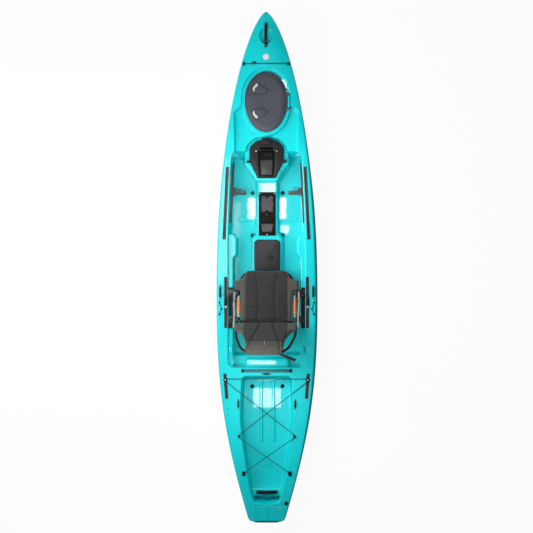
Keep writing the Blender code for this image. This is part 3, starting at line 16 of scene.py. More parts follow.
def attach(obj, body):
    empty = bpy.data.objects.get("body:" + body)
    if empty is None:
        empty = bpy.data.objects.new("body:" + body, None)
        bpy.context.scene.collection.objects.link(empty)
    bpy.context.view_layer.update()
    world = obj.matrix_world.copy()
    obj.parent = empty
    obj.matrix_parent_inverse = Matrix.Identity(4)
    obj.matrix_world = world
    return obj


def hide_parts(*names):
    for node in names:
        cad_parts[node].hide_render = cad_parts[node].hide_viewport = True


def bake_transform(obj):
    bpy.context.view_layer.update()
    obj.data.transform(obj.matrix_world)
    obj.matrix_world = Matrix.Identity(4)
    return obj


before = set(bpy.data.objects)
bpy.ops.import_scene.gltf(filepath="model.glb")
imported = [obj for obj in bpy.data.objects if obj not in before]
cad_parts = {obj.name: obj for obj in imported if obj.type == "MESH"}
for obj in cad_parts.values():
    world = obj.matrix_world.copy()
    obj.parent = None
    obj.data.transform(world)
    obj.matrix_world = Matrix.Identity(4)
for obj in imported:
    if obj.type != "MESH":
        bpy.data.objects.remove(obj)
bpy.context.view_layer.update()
LOG = logging.getLogger("kayak")

Colour = tuple[float, float, float]
Point = tuple[float, float, float]
Outline = list[Vector]
Bend = tuple[float, float, float, float]

LENGTH = 4.27
BEAM = 0.846
SHEER_MID = 0.295
SIDES = (("left", -1.0), ("right", 1.0))
GAP = 0.0003
DRAIN = (0.1640, -1.9710)
UP = Vector((0.0, 0.0, 1.0))
TO_X = Matrix.Rotation(math.pi / 2.0, 3, "Y")
TO_Y = Matrix.Rotation(math.pi / 2.0, 3, "X")


def ramp(a: float, b: float, v: float) -> float:
    """Smooth rise from 0 at a to 1 at b.

    Args:
        a: Where the rise begins.
        b: Where the rise ends.
        v: Value to read.

    Returns:
        Share between 0 and 1.
    """
    t = min(1.0, max(0.0, (v - a) / (b - a)))
    return t * t * (3.0 - 2.0 * t)


class Wiring:
    """Places nodes in one tree and joins them."""

    def __init__(self, tree: bpy.types.NodeTree) -> None:
        """Keeps the tree that the nodes go into."""
        self.tree = tree

    def feed(self, node: bpy.types.Node, inputs: dict) -> bpy.types.Node:
        """Sets or joins the inputs of a node.

        Args:
            node: The node.
            inputs: Values or sockets for its inputs, by name or number.

        Returns:
            The same node.
        """
        for key, value in inputs.items():
            if isinstance(value, bpy.types.NodeSocket):
                self.tree.links.new(value, node.inputs[key])
            else:
                node.inputs[key].default_value = value
        return node

    def node(self, kind: str, inputs: dict | None = None, **settings: object) -> bpy.types.Node:
        """Adds one node.

        Args:
            kind: Type name of the node.
            inputs: Values or sockets for its inputs, by name or number.
            settings: Attributes of the node.

        Returns:
            The new node.
        """
        made = self.tree.nodes.new(kind)
        for key, value in settings.items():
            setattr(made, key, value)
        return self.feed(made, inputs or {})

    def noise(self, at: bpy.types.NodeSocket, scale: float, detail: float = 2.0,
              rough: float = 0.5) -> bpy.types.NodeSocket:
        """Noise between 0 and 1.

        Args:
            at: Coordinates.
            scale: Cells per metre.
            detail: Octaves.
            rough: Weight of the finer octaves.

        Returns:
            The noise value.
        """
        return self.node("ShaderNodeTexNoise", {"Vector": at, "Scale": scale, "Detail": detail,
                                                "Roughness": rough}).outputs["Fac"]

    def math(self, operation: str, *values: object, clamp: bool = False) -> bpy.types.NodeSocket:
        """Arithmetic on numbers or sockets.

        Args:
            operation: Name of the operation.
            values: Its operands.
            clamp: Keeps the result between 0 and 1.

        Returns:
            The result.
        """
        return self.node("ShaderNodeMath", dict(enumerate(values)), operation=operation,
                         use_clamp=clamp).outputs[0]

    def spread(self, value: object, low: float, high: float, to_low: object = 0.0,
               to_high: object = 1.0) -> bpy.types.NodeSocket:
        """Maps a range of values onto another and clamps it.

        Args:
            value: Value to map.
            low: Start of the range.
            high: End of the range.
            to_low: What the start becomes.
            to_high: What the end becomes.

        Returns:
            The mapped value.
        """
        return self.node("ShaderNodeMapRange", {0: value, 1: low, 2: high, 3: to_low,
                                                4: to_high}).outputs[0]

    def blend(self, share: object, a: object, b: object) -> bpy.types.NodeSocket:
        """Mixes two colours.

        Args:
            share: Share of the second colour.
            a: First colour or socket.
            b: Second colour or socket.

        Returns:
            The mixed colour.
        """
        a, b = ((*c, 1.0) if isinstance(c, tuple) and len(c) == 3 else c for c in (a, b))
        return self.node("ShaderNodeMix", {0: share, 6: a, 7: b},
                         data_type="RGBA").outputs[2]


class Effects:
    """Shader groups that several finishes use, each built once."""

    made: dict[str, bpy.types.NodeTree] = {}

    @staticmethod
    def start(name: str, inputs: dict[str, tuple], outputs: dict[str, str]) -> tuple:
        """Opens a new group.

        Args:
            name: Name of the group.
            inputs: Socket type and default value by name.
            outputs: Socket type by name.

        Returns:
            The wiring, the input node and the output node.
        """
        tree = bpy.data.node_groups.new(name, "ShaderNodeTree")
        for key, (kind, value) in inputs.items():
            socket = tree.interface.new_socket(key, in_out="INPUT", socket_type=kind)
            if value is not None:
                socket.default_value = value
        for key, kind in outputs.items():
            tree.interface.new_socket(key, in_out="OUTPUT", socket_type=kind)
        wires = Wiring(tree)
        return wires, wires.node("NodeGroupInput"), wires.node("NodeGroupOutput")

    @classmethod
    def skin(cls) -> bpy.types.NodeTree:
        """Moulded or machined surface: slow tone, scuffs, worn edges and fine relief.

        Returns:
            The group.
        """
        if "skin" in cls.made:
            return cls.made["skin"]
        wires, inside, outside = cls.start("moulded_skin", {
            "Grain": ("NodeSocketFloat", 700.0), "Relief": ("NodeSocketFloat", 0.0002),
            "Edge": ("NodeSocketFloat", 0.0015), "Stretch": ("NodeSocketVector", (1.0, 1.0, 1.0)),
        }, {"Tone": "NodeSocketFloat", "Scuff": "NodeSocketFloat", "Wear": "NodeSocketFloat",
            "Normal": "NodeSocketVector"})
        place = wires.node("ShaderNodeTexCoord").outputs["Object"]
        slow = wires.noise(place, 3.5, 4.0, 0.6)
        patchy = wires.noise(place, 38.0, 3.0, 0.6)
        tone = wires.math("ADD", wires.math("MULTIPLY", slow, 0.65),
                          wires.math("MULTIPLY", patchy, 0.35))

        drawn = wires.node("ShaderNodeVectorMath", {0: place, 1: (1.0, 0.09, 1.0)},
                           operation="MULTIPLY").outputs[0]
        scratch = wires.spread(wires.noise(drawn, 210.0, 3.0, 0.7), 0.63, 0.74)
        where = wires.spread(wires.noise(place, 9.0, 3.0, 0.6), 0.52, 0.72)

        soft = wires.node("ShaderNodeBevel", {"Radius": inside.outputs["Edge"]}, samples=4)
        plain = wires.node("ShaderNodeNewGeometry").outputs["Normal"]
        along = wires.node("ShaderNodeVectorMath", {0: soft.outputs[0], 1: plain},
                           operation="DOT_PRODUCT").outputs["Value"]
        edge = wires.spread(along, 0.995, 0.80)
        broken = wires.spread(wires.noise(place, 160.0, 3.0, 0.7), 0.42, 0.62)

        stretched = wires.node("ShaderNodeVectorMath", {0: place, 1: inside.outputs["Stretch"]},
                               operation="MULTIPLY").outputs[0]
        fine = wires.noise(stretched, inside.outputs["Grain"])
        bump = wires.node("ShaderNodeBump", {"Strength": 1.0, "Distance": inside.outputs["Relief"],
                                             "Height": fine, "Normal": soft.outputs[0]})
        wires.feed(outside, {"Tone": wires.spread(tone, 0.3, 0.7),
                             "Scuff": wires.math("MULTIPLY", scratch, where),
                             "Wear": wires.math("MULTIPLY", edge, broken),
                             "Normal": bump.outputs[0]})
        cls.made["skin"] = wires.tree
        return wires.tree

    @classmethod
    def weave(cls) -> bpy.types.NodeTree:
        """Plain weave of heathered yarn: thread relief and the tone of each thread.

        Returns:
            The group.
        """
        if "weave" in cls.made:
            return cls.made["weave"]
        wires, inside, outside = cls.start("weave", {
            "Vector": ("NodeSocketVector", None), "Pitch": ("NodeSocketFloat", 0.0016),
        }, {"Height": "NodeSocketFloat", "Thread": "NodeSocketFloat", "Crease": "NodeSocketFloat"})
        at = inside.outputs["Vector"]
        split = wires.node("ShaderNodeSeparateXYZ", {0: at})
        steps = [wires.math("DIVIDE", split.outputs[k], inside.outputs["Pitch"]) for k in (0, 1)]
        waves = [wires.math("ABSOLUTE", wires.math("SINE", wires.math("MULTIPLY", s, math.pi)))
                 for s in steps]
        cells = [wires.math("FLOOR", s) for s in steps]
        over = wires.math("FLOORED_MODULO", wires.math("ADD", *cells), 2.0)
        height = wires.node("ShaderNodeMix", {0: over, 2: waves[0], 3: waves[1]}).outputs[0]
        cell = wires.node("ShaderNodeCombineXYZ", {0: cells[0], 1: cells[1]}).outputs[0]
        speck = wires.node("ShaderNodeTexWhiteNoise", {"Vector": cell}).outputs["Value"]
        heather = wires.noise(at, 190.0, 3.0, 0.7)
        wires.feed(outside, {
            "Height": height,
            "Thread": wires.math("ADD", wires.math("MULTIPLY", speck, 0.45),
                                 wires.math("MULTIPLY", heather, 0.55)),
            "Crease": wires.spread(wires.noise(at, 14.0, 4.0, 0.6), 0.3, 0.7)})
        cls.made["weave"] = wires.tree
        return wires.tree


def open_material(name: str) -> tuple[bpy.types.Material, Wiring, bpy.types.Node]:
    """Starts a material.

    Args:
        name: Its name.

    Returns:
        The material, its wiring and its surface shader.
    """
    made = bpy.data.materials.new(name)
    made.use_nodes = True
    return made, Wiring(made.node_tree), made.node_tree.nodes["Principled BSDF"]


class Stock(Enum):
    """Material slots of the record that finishes answer to."""

    HULL = "hull_plastic"
    DECK = "deck_fittings"
    HATCH = "hatch_plastic"
    LEVER = "lever_plastic"
    CONSOLE = "console_plastic"
    RUBBER = "rubber"
    PAD = "pad_rubber"
    STEEL = "steel"
    BADGE = "badge"
    CORD = "cord"
    FABRIC = "seat_fabric"
    TUBE = "frame_metal"
    SLEEVE = "sleeve_orange"


@dataclass(frozen=True)
class Moulded:
    """Plastic, rubber, coated or bare metal surface."""

    name: str
    stock: Stock
    colour: Colour
    deep: Colour
    rough: tuple[float, float] = (0.45, 0.6)
    worn: Colour = (0.30, 0.30, 0.31)
    wear: float = 0.35
    scuff: float = 0.25
    grain: float = 900.0
    relief: float = 0.00012
    edge: float = 0.0015
    metal: float = 0.0
    coat: float = 0.0
    polish: float = 0.12
    shine: float = 0.5
    stretch: Point = (1.0, 1.0, 1.0)

    def make(self) -> bpy.types.Material:
        """Builds the material once.

        Returns:
            The material.
        """
        if self.name in bpy.data.materials:
            return bpy.data.materials[self.name]
        made, wires, shader = open_material(self.name)
        skin = wires.node("ShaderNodeGroup", {
            "Grain": self.grain, "Relief": self.relief, "Edge": self.edge,
            "Stretch": self.stretch}, node_tree=Effects.skin())
        tone = skin.outputs["Tone"]
        scuffed = wires.math("MULTIPLY", skin.outputs["Scuff"], self.scuff)
        rubbed = wires.math("MULTIPLY", skin.outputs["Wear"], self.wear)
        colour = wires.blend(scuffed, wires.blend(tone, self.deep, self.colour), self.worn)
        rough = wires.math("ADD", wires.spread(tone, 0.0, 1.0, *self.rough),
                           wires.math("MULTIPLY", scuffed, 0.5), clamp=True)
        wires.feed(shader, {
            "Base Color": wires.blend(rubbed, colour, self.worn), "Roughness": rough,
            "Normal": skin.outputs["Normal"], "Metallic": self.metal,
            "Specular IOR Level": self.shine, "Coat Weight": self.coat,
            "Coat Roughness": self.polish})
        return made


@dataclass(frozen=True)
class Woven:
    """Fabric or webbing; with a border colour it reads the piece's own panel attribute."""

    name: str
    stock: Stock
    colour: Colour
    fleck: Colour
    border: Colour | None = None
    border_fleck: Colour | None = None
    pitch: float = 0.0016
    turn: Point = (0.0, 0.0, 0.0)
    relief: float = 0.0004

    def make(self) -> bpy.types.Material:
        """Builds the material once.

        Returns:
            The material.
        """
        if self.name in bpy.data.materials:
            return bpy.data.materials[self.name]
        made, wires, shader = open_material(self.name)
        place = wires.node("ShaderNodeTexCoord").outputs["Object"]
        turned = wires.node("ShaderNodeMapping", {"Vector": place, "Rotation": self.turn})
        weave = wires.node("ShaderNodeGroup", {"Vector": turned.outputs[0], "Pitch": self.pitch},
                           node_tree=Effects.weave())
        thread = wires.spread(weave.outputs["Thread"], 0.30, 0.70)
        colour = wires.blend(thread, self.colour, self.fleck)
        if self.border:
            edge = wires.blend(thread, self.border, self.border_fleck)
            panel = wires.node("ShaderNodeAttribute", attribute_name="panel").outputs["Fac"]
            colour = wires.blend(panel, colour, edge)
        faded = wires.node("ShaderNodeHueSaturation", {
            "Color": colour, "Value": wires.spread(weave.outputs["Crease"], 0.0, 1.0, 0.86, 1.1)})
        bump = wires.node("ShaderNodeBump", {"Strength": 0.8, "Distance": self.relief,
                                             "Height": weave.outputs["Height"]})
        wires.feed(shader, {
            "Base Color": faded.outputs[0], "Normal": bump.outputs[0],
            "Roughness": wires.spread(thread, 0.0, 1.0, 0.82, 0.95),
            "Sheen Weight": 0.15, "Sheen Roughness": 0.5, "Specular IOR Level": 0.25})
        return made


TEAL = Moulded("teal_gloss_plastic", Stock.HULL, (0.0, 0.71, 0.74), (0.0, 0.62, 0.66),
               rough=(0.36, 0.46), worn=(0.20, 0.80, 0.82), wear=0.22, scuff=0.12, grain=260.0,
               relief=0.00004, edge=0.004, coat=0.50, polish=0.045, shine=0.2)
# Hull teal darkened to how it looks in shade: painted shade, used for the rear bar.
TEAL_PAINTED_SHADE = Moulded("dark_teal_plastic", Stock.HULL, (0.0, 0.13, 0.14), (0.0, 0.10, 0.11),
                rough=(0.34, 0.46), worn=(0.10, 0.34, 0.35), grain=700.0)
DECK = Moulded("satin_black_plastic", Stock.DECK, (0.012, 0.011, 0.012), (0.007, 0.006, 0.007),
               rough=(0.40, 0.55), worn=(0.13, 0.12, 0.12), shine=0.22)
# Deep black of the tray, bar caps, washers and console lid; the thin sheet in the console hollow
# uses it as painted shade.
DARK = Moulded("deep_black_plastic", Stock.DECK, (0.006, 0.0055, 0.006), (0.003, 0.003, 0.003),
               rough=(0.52, 0.66), worn=(0.05, 0.05, 0.05), wear=0.2, shine=0.12)
TRACK = Moulded("track_black_plastic", Stock.DECK, (0.052, 0.040, 0.042), (0.026, 0.021, 0.023),
                rough=(0.36, 0.50), worn=(0.26, 0.22, 0.22), wear=0.5, shine=0.35,
                stretch=(1.0, 0.06, 1.0))
HATCH = Moulded("slate_hatch_plastic", Stock.HATCH, (0.068, 0.072, 0.096), (0.044, 0.048, 0.066),
                rough=(0.42, 0.56), worn=(0.20, 0.21, 0.25), wear=0.5, scuff=0.35, grain=1300.0,
                relief=0.0002, shine=0.35)
LEVER = Moulded("silver_lever_plastic", Stock.LEVER, (0.66, 0.65, 0.62), (0.52, 0.51, 0.49),
                rough=(0.26, 0.38), worn=(0.76, 0.76, 0.75))
CONSOLE = Moulded("console_black_plastic", Stock.CONSOLE, (0.014, 0.013, 0.014),
                  (0.009, 0.008, 0.009), rough=(0.40, 0.56), worn=(0.15, 0.14, 0.14), shine=0.25)
CONSOLE_LID = Moulded("console_brown_plastic", Stock.CONSOLE, (0.052, 0.048, 0.050),
                      (0.034, 0.031, 0.032), rough=(0.38, 0.52), shine=0.30)
LID = Moulded("mid_lid_plastic", Stock.CONSOLE, (0.024, 0.023, 0.024), (0.016, 0.015, 0.016),
              rough=(0.40, 0.55), worn=(0.14, 0.13, 0.13), shine=0.25)
PEDAL = Moulded("pedal_grey_plastic", Stock.CONSOLE, (0.135, 0.122, 0.116),
                (0.072, 0.064, 0.062), rough=(0.45, 0.60), shine=0.3)
RUBBER = Moulded("black_rubber", Stock.RUBBER, (0.020, 0.020, 0.021), (0.012, 0.012, 0.013),
                 rough=(0.62, 0.78), wear=0.15, scuff=0.3, shine=0.25)
PAD = Moulded("grey_pad_rubber", Stock.PAD, (0.085, 0.079, 0.083), (0.055, 0.051, 0.054),
              rough=(0.60, 0.75), wear=0.2, grain=1800.0, relief=0.0003, shine=0.3)
STEEL = Moulded("bare_steel", Stock.STEEL, (0.56, 0.56, 0.55), (0.44, 0.44, 0.44),
                rough=(0.30, 0.42), worn=(0.70, 0.70, 0.68), metal=0.9, edge=0.0006,
                grain=2600.0, relief=0.00003)
BADGE = Moulded("blank_badge", Stock.BADGE, (0.84, 0.85, 0.86), (0.74, 0.75, 0.77),
                rough=(0.28, 0.38), worn=(0.90, 0.90, 0.90), edge=0.0008)
CORD = Woven("black_bungee", Stock.CORD, (0.006, 0.006, 0.007), (0.020, 0.020, 0.022),
             pitch=0.0011, turn=(0.0, 0.0, 0.785))
WEBBING = Woven("grey_webbing", Stock.FABRIC, (0.26, 0.25, 0.24), (0.44, 0.43, 0.41),
                pitch=0.0014)
STRAP = Woven("black_webbing", Stock.FABRIC, (0.018, 0.018, 0.020), (0.05, 0.05, 0.052),
              pitch=0.0014)
SEAT_CLOTH = Woven("charcoal_seat_fabric", Stock.FABRIC, (0.016, 0.015, 0.016),
                   (0.057, 0.054, 0.057), (0.060, 0.054, 0.050), (0.120, 0.110, 0.102))
BACK_CLOTH = Woven("charcoal_back_fabric", Stock.FABRIC, (0.008, 0.008, 0.008),
                   (0.029, 0.028, 0.029), (0.056, 0.050, 0.046), (0.112, 0.102, 0.095),
                   turn=(math.radians(-65.0), 0.0, 0.0))
BARE = Moulded("bare_alloy_tube", Stock.TUBE, (0.50, 0.52, 0.50), (0.38, 0.40, 0.39),
               rough=(0.40, 0.52), worn=(0.62, 0.62, 0.60), metal=0.4, edge=0.0006)
PIPING = Woven("taupe_piping", Stock.FABRIC, (0.13, 0.117, 0.107), (0.23, 0.21, 0.195),
               pitch=0.0012)
DOT = Moulded("pale_dots", Stock.BADGE, (0.78, 0.74, 0.70), (0.66, 0.62, 0.58),
              worn=(0.85, 0.82, 0.80), edge=0.0006)
TUBE = Moulded("black_coated_tube", Stock.TUBE, (0.014, 0.013, 0.013), (0.009, 0.008, 0.008),
               rough=(0.30, 0.42), worn=(0.22, 0.20, 0.19), coat=0.2, shine=0.3)
SLEEVE = Moulded("orange_sleeve", Stock.SLEEVE, (1.0, 0.24, 0.010), (0.95, 0.18, 0.005),
                 rough=(0.42, 0.55), worn=(1.0, 0.45, 0.20), wear=0.4)

Finish = Moulded | Woven


class Piece:
    """One piece being shaped from bmesh operators, then set on a body."""

    def __init__(self, name: str) -> None:
        """Starts an empty mesh under a name."""
        self.name = name
        self.bm = bmesh.new()

    def _set(self, old: set, centre: Point, turn: Matrix | None = None) -> "Piece":
        """Turns the corners added since then about the origin and moves them.

        Args:
            old: Corners that were there before.
            centre: Where the origin goes.
            turn: Rotation about the origin.

        Returns:
            This piece.
        """
        verts = [v for v in self.bm.verts if v not in old]
        if turn is not None:
            bmesh.ops.rotate(self.bm, matrix=turn, verts=verts)
        bmesh.ops.translate(self.bm, vec=centre, verts=verts)
        return self

    def _bevel(self, edges: list, width: float, steps: int) -> None:
        """Rounds edges to a radius.

        Args:
            edges: Edges to round.
            width: Radius.
            steps: Facets round each edge.
        """
        bmesh.ops.bevel(self.bm, geom=edges, offset=width, offset_type="OFFSET",
                        segments=steps, profile=0.5, affect="EDGES", material=-1,
                        clamp_overlap=True)

    def block(self, size: Point, centre: Point, edge: float = 0.0, steps: int = 3,
              turn: Matrix | None = None) -> "Piece":
        """Adds a box with rounded edges.

        Args:
            size: Its three sides.
            centre: Its centre.
            edge: Radius of its edges.
            steps: Facets round each edge.
            turn: Rotation about its centre.

        Returns:
            This piece.
        """
        old = set(self.bm.verts)
        verts = bmesh.ops.create_cube(self.bm, size=1.0)["verts"]
        bmesh.ops.scale(self.bm, vec=size, verts=verts)
        if edge:
            box = set(verts)
            self._bevel([e for e in self.bm.edges if box.issuperset(e.verts)], edge, steps)
        return self._set(old, centre, turn)

    def turned(self, profile: list[tuple[float, float]], centre: Point,
               turn: Matrix | None = None, sides: int = 32) -> "Piece":
        """Adds a solid of revolution about Z.

        Args:
            profile: Radius and height pairs, from the bottom centre to the top centre.
            centre: Where its origin goes.
            turn: Rotation about its origin.
            sides: Facets round it.

        Returns:
            This piece.
        """
        old = set(self.bm.verts)
        line = [self.bm.verts.new((r, 0.0, z)) for r, z in profile]
        edges = [self.bm.edges.new(pair) for pair in zip(line, line[1:])]
        bmesh.ops.spin(self.bm, geom=line + edges, cent=(0, 0, 0), axis=(0, 0, 1),
                       angle=2.0 * math.pi, steps=sides, use_merge=True)
        made = [v for v in self.bm.verts if v not in old]
        bmesh.ops.remove_doubles(self.bm, verts=made, dist=1e-6)
        return self._set(old, centre, turn)

    def plate(self, outline: Outline, low: float, high: float, edge: float = 0.0,
              steps: int = 3, centre: Point = (0.0, 0.0, 0.0)) -> "Piece":
        """Adds a flat piece with a plan outline and rounded upper edge.

        Args:
            outline: Its outline.
            low: Height of its underside.
            high: Height of its top.
            edge: Radius of the upper edge.
            steps: Facets round that edge.
            centre: Where its origin goes.

        Returns:
            This piece.
        """
        old = set(self.bm.verts)
        face = self.bm.faces.new([self.bm.verts.new((p.x, p.y, low)) for p in outline])
        raised = bmesh.ops.extrude_face_region(self.bm, geom=[face])["geom"]
        top = {g for g in raised if isinstance(g, bmesh.types.BMVert)}
        bmesh.ops.translate(self.bm, vec=(0.0, 0.0, high - low), verts=list(top))
        if edge:
            self._bevel([e for e in self.bm.edges if top.issuperset(e.verts)], edge, steps)
        return self._set(old, centre)

    def skin(self, rings: list[list[Vector]], closed: bool = False) -> "Piece":
        """Adds a solid bridged through a row of rings.

        Args:
            rings: Rings of points, all of the same count.
            closed: Joins the last ring to the first.

        Returns:
            This piece.
        """
        loops = []
        for ring in rings:
            verts = [self.bm.verts.new(p) for p in ring]
            loops.append([self.bm.edges.new(pair) for pair in zip(verts, verts[1:] + verts[:1])])
        for near, far in zip(loops, loops[1:] + (loops[:1] if closed else [])):
            bmesh.ops.bridge_loops(self.bm, edges=near + far)
        if not closed:
            bmesh.ops.holes_fill(self.bm, edges=loops[0] + loops[-1], sides=0)
        return self

    def layers(self, outline: Outline, levels: list[tuple[float, float]],
               centre: Point = (0.0, 0.0, 0.0)) -> "Piece":
        """Adds a solid through copies of an outline at stated offsets and heights.

        Args:
            outline: Its plan outline.
            levels: Offset and height pairs.
            centre: Where its origin goes.

        Returns:
            This piece.
        """
        return self.skin([[Vector((p.x, p.y, z)) + Vector(centre) for p in offset(outline, off)]
                          for off, z in levels])

    def run(self, profile: Outline, line: list[Vector], closed: bool = False) -> "Piece":
        """Adds a bar: a profile given across and up, bridged along a line.

        Args:
            profile: Corners of the section, x across and y up.
            line: Points that it follows.
            closed: Joins the end to the start.

        Returns:
            This piece.
        """
        rings = []
        for i, p in enumerate(line):
            back = line[i - 1] if i or closed else p
            ahead = line[(i + 1) % len(line)] if i < len(line) - 1 or closed else p
            along = (ahead - back).normalized()
            across = along.cross(UP).normalized()
            over = across.cross(along)
            rings.append([p + across * q.x + over * q.y for q in profile])
        return self.skin(rings, closed)

    def rod(self, radius: float, line: list[Vector], sides: int = 12,
            closed: bool = False) -> "Piece":
        """Adds a round bar along a line.

        Args:
            radius: Its radius.
            line: Points that it follows.
            sides: Facets round it.
            closed: Joins the end to the start.

        Returns:
            This piece.
        """
        return self.run(oval((0.0, 0.0, 0.0), radius, radius, sides), line, closed)

    def screw(self, place: Point, radius: float = 0.0042, tall: float = 0.0018) -> "Piece":
        """Adds a pan-head screw with a recess in its crown.

        Args:
            place: Centre of the seat under its head.
            radius: Radius of the head.
            tall: Height of the head.

        Returns:
            This piece.
        """
        dip = 0.35 * tall
        return self.turned([(0.0, -0.0006), (radius, -0.0006), (radius, dip),
                            (0.82 * radius, 0.85 * tall), (0.42 * radius, tall),
                            (0.30 * radius, tall - dip), (0.0, tall - dip)], place, None, 14)

    def solid(self) -> bpy.types.Object:
        """Turns the mesh into an object with its faces outward.

        Returns:
            The object, not yet finished.
        """
        bmesh.ops.recalc_face_normals(self.bm, faces=self.bm.faces)
        mesh = bpy.data.meshes.new(self.name)
        self.bm.to_mesh(mesh)
        self.bm.free()
        return linked(self.name, mesh)

    def less(self, *tools: "Piece") -> "Piece":
        """Cuts other pieces out of this one.

        Args:
            tools: Pieces to cut away.

        Returns:
            This piece.
        """
        made = self.solid()
        boolean(made, [tool.solid() for tool in tools])
        self.bm = bmesh.new()
        self.bm.from_mesh(made.data)
        bpy.data.objects.remove(made, do_unlink=True)
        return self

    def done(self, finish: Finish, body: str, replaces: tuple[str, ...] = (),
             smooth: float = 35.0) -> bpy.types.Object:
        """Makes the object, gives it its finish and sets it on its body.

        Args:
            finish: Finish of the piece.
            body: Body that it rides on.
            replaces: CAD nodes that it stands for.
            smooth: Sharpest angle that is shaded smooth, in degrees.

        Returns:
            The finished object.
        """
        made = self.solid()
        made.data.shade_smooth()
        made.data.set_sharp_from_angle(angle=math.radians(smooth))
        return settle(made, finish, body, replaces)


def linked(name: str, data: bpy.types.ID) -> bpy.types.Object:
    """Makes an object in the scene.

    Args:
        name: Its name.
        data: Its mesh, curve, lamp or camera.

    Returns:
        The object.
    """
    made = bpy.data.objects.new(name, data)
    bpy.context.scene.collection.objects.link(made)
    return made


def boolean(target: bpy.types.Object, tools: list[bpy.types.Object]) -> None:
    """Cuts tools from a solid and removes them.

    Args:
        target: Solid that is kept.
        tools: Solids that are cut away.
    """
    home = bpy.data.collections.new("tools")
    bpy.context.scene.collection.children.link(home)
    for tool in tools:
        bpy.context.scene.collection.objects.unlink(tool)
        home.objects.link(tool)
    step = target.modifiers.new("cut", "BOOLEAN")
    step.solver = "EXACT"
    step.operation = "DIFFERENCE"
    step.operand_type = "COLLECTION"
    step.collection = home
    graph = bpy.context.evaluated_depsgraph_get()
    result = bpy.data.meshes.new_from_object(target.evaluated_get(graph))
    target.modifiers.clear()
    old = target.data
    target.data = result
    bpy.data.meshes.remove(old)
    for tool in tools:
        bpy.data.objects.remove(tool, do_unlink=True)
    bpy.data.collections.remove(home)


def settle(made: bpy.types.Object, finish: Finish, body: str,
           replaces: tuple[str, ...] = ()) -> bpy.types.Object:
    """Gives an object its finish and sets it on a body.

    Args:
        made: The object.
        finish: Its finish.
        body: Body that it rides on.
        replaces: CAD nodes that it stands for.

    Returns:
        The same object.
    """
    made.data.materials.clear()
    made.data.materials.append(finish.make())
    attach(made, body)
    if replaces:
        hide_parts(*replaces)
    LOG.info("%s on %s", made.name, body)
    return made


def repaint(finish: Finish, *nodes: str) -> None:
    """Gives CAD nodes that stay in view a better material.

    Args:
        finish: Their finish.
        nodes: Their names.
    """
    for name in nodes:
        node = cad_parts[name]
        node.data.materials.clear()
        node.data.materials.append(finish.make())
        LOG.info("%s repainted", name)


def cord_line(name: str, points: list[Vector], radius: float, finish: Finish,
              body: str, replaces: tuple[str, ...] = ()) -> bpy.types.Object:
    """Makes a round cord along points.

    Args:
        name: Name of the cord.
        points: Points of its middle line.
        radius: Its radius.
        finish: Its finish.
        body: Body that it rides on.
        replaces: CAD nodes that it stands for.

    Returns:
        The cord.
    """
    curve = bpy.data.curves.new(name, "CURVE")
    curve.dimensions = "3D"
    curve.bevel_depth = radius
    curve.bevel_resolution = 3
    curve.use_fill_caps = True
    spline = curve.splines.new("POLY")
    spline.points.add(len(points) - 1)
    for point, p in zip(spline.points, points):
        point.co = (*p, 1.0)
    return settle(linked(name, curve), finish, body, replaces)


def oval(centre: Point, wide: float, long: float, count: int = 32) -> list[Vector]:
    """Level oval of points.

    Args:
        centre: Its centre.
        wide: Its half width.
        long: Its half length.
        count: Number of points.

    Returns:
        Points of the oval.
    """
    turns = (2.0 * math.pi * k / count for k in range(count))
    return [Vector((centre[0] + wide * math.cos(a), centre[1] + long * math.sin(a), centre[2]))
            for a in turns]


def oblong(half: float, fore: float, aft: float, edge: float = 0.0, tail: float | None = None,
           x: float = 0.0) -> Outline:
    """Four-cornered outline.

    Args:
        half: Half width at its fore end.
        fore: Place of the fore end.
        aft: Place of the aft end.
        edge: Radius of the corners.
        tail: Half width at its aft end, if another.
        x: Place of its middle line.

    Returns:
        Points of the outline.
    """
    tail = half if tail is None else tail
    return rounded([(x + half, fore, edge), (x - half, fore, edge), (x - tail, aft, edge),
                    (x + tail, aft, edge)])


def rounded(corners: list[tuple[float, float, float]], longest: float = 0.08,
            fine: float = 0.22) -> Outline:
    """Plan outline with its corners rounded.

    Args:
        corners: x, y and radius of each corner.
        longest: Longest straight piece.
        fine: Turn of each facet round a corner, in radians.

    Returns:
        Points of the outline.
    """
    out = []
    count = len(corners)
    for i, (x, y, radius) in enumerate(corners):
        here = Vector((x, y))
        back = Vector(corners[i - 1][:2]) - here
        ahead = Vector(corners[(i + 1) % count][:2]) - here
        turn = back.angle(ahead)
        if radius <= 0.0 or turn > 3.0:
            out.append(here)
            continue
        reach = min(radius / math.tan(turn / 2.0), 0.49 * back.length, 0.49 * ahead.length)
        radius = reach * math.tan(turn / 2.0)
        centre = here + (back.normalized() + ahead.normalized()).normalized() * (
            radius / math.sin(turn / 2.0))
        first = here + back.normalized() * reach - centre
        sweep = math.pi - turn
        steps = max(2, round(sweep / fine))
        sign = 1.0 if back.cross(ahead) < 0.0 else -1.0
        out += [centre + Matrix.Rotation(sign * sweep * k / steps, 2) @ first
                for k in range(steps + 1)]
    filled = []
    for a, b in zip(out, out[1:] + out[:1]):
        pieces = max(1, math.ceil((b - a).length / longest))
        filled += [a.lerp(b, k / pieces) for k in range(pieces)]
    area = sum(a.cross(b) for a, b in zip(filled, filled[1:] + filled[:1]))
    return filled if area > 0.0 else filled[::-1]


def mirrored(half: list[tuple[float, float, float]], longest: float = 0.08) -> Outline:
    """Whole outline from its starboard half, listed bow to stern.

    Args:
        half: Corners with x, y and radius.
        longest: Longest straight piece.

    Returns:
        Points of the outline.
    """
    return rounded([(-x, y, r) for x, y, r in half if x > 1e-6] + half[::-1], longest)


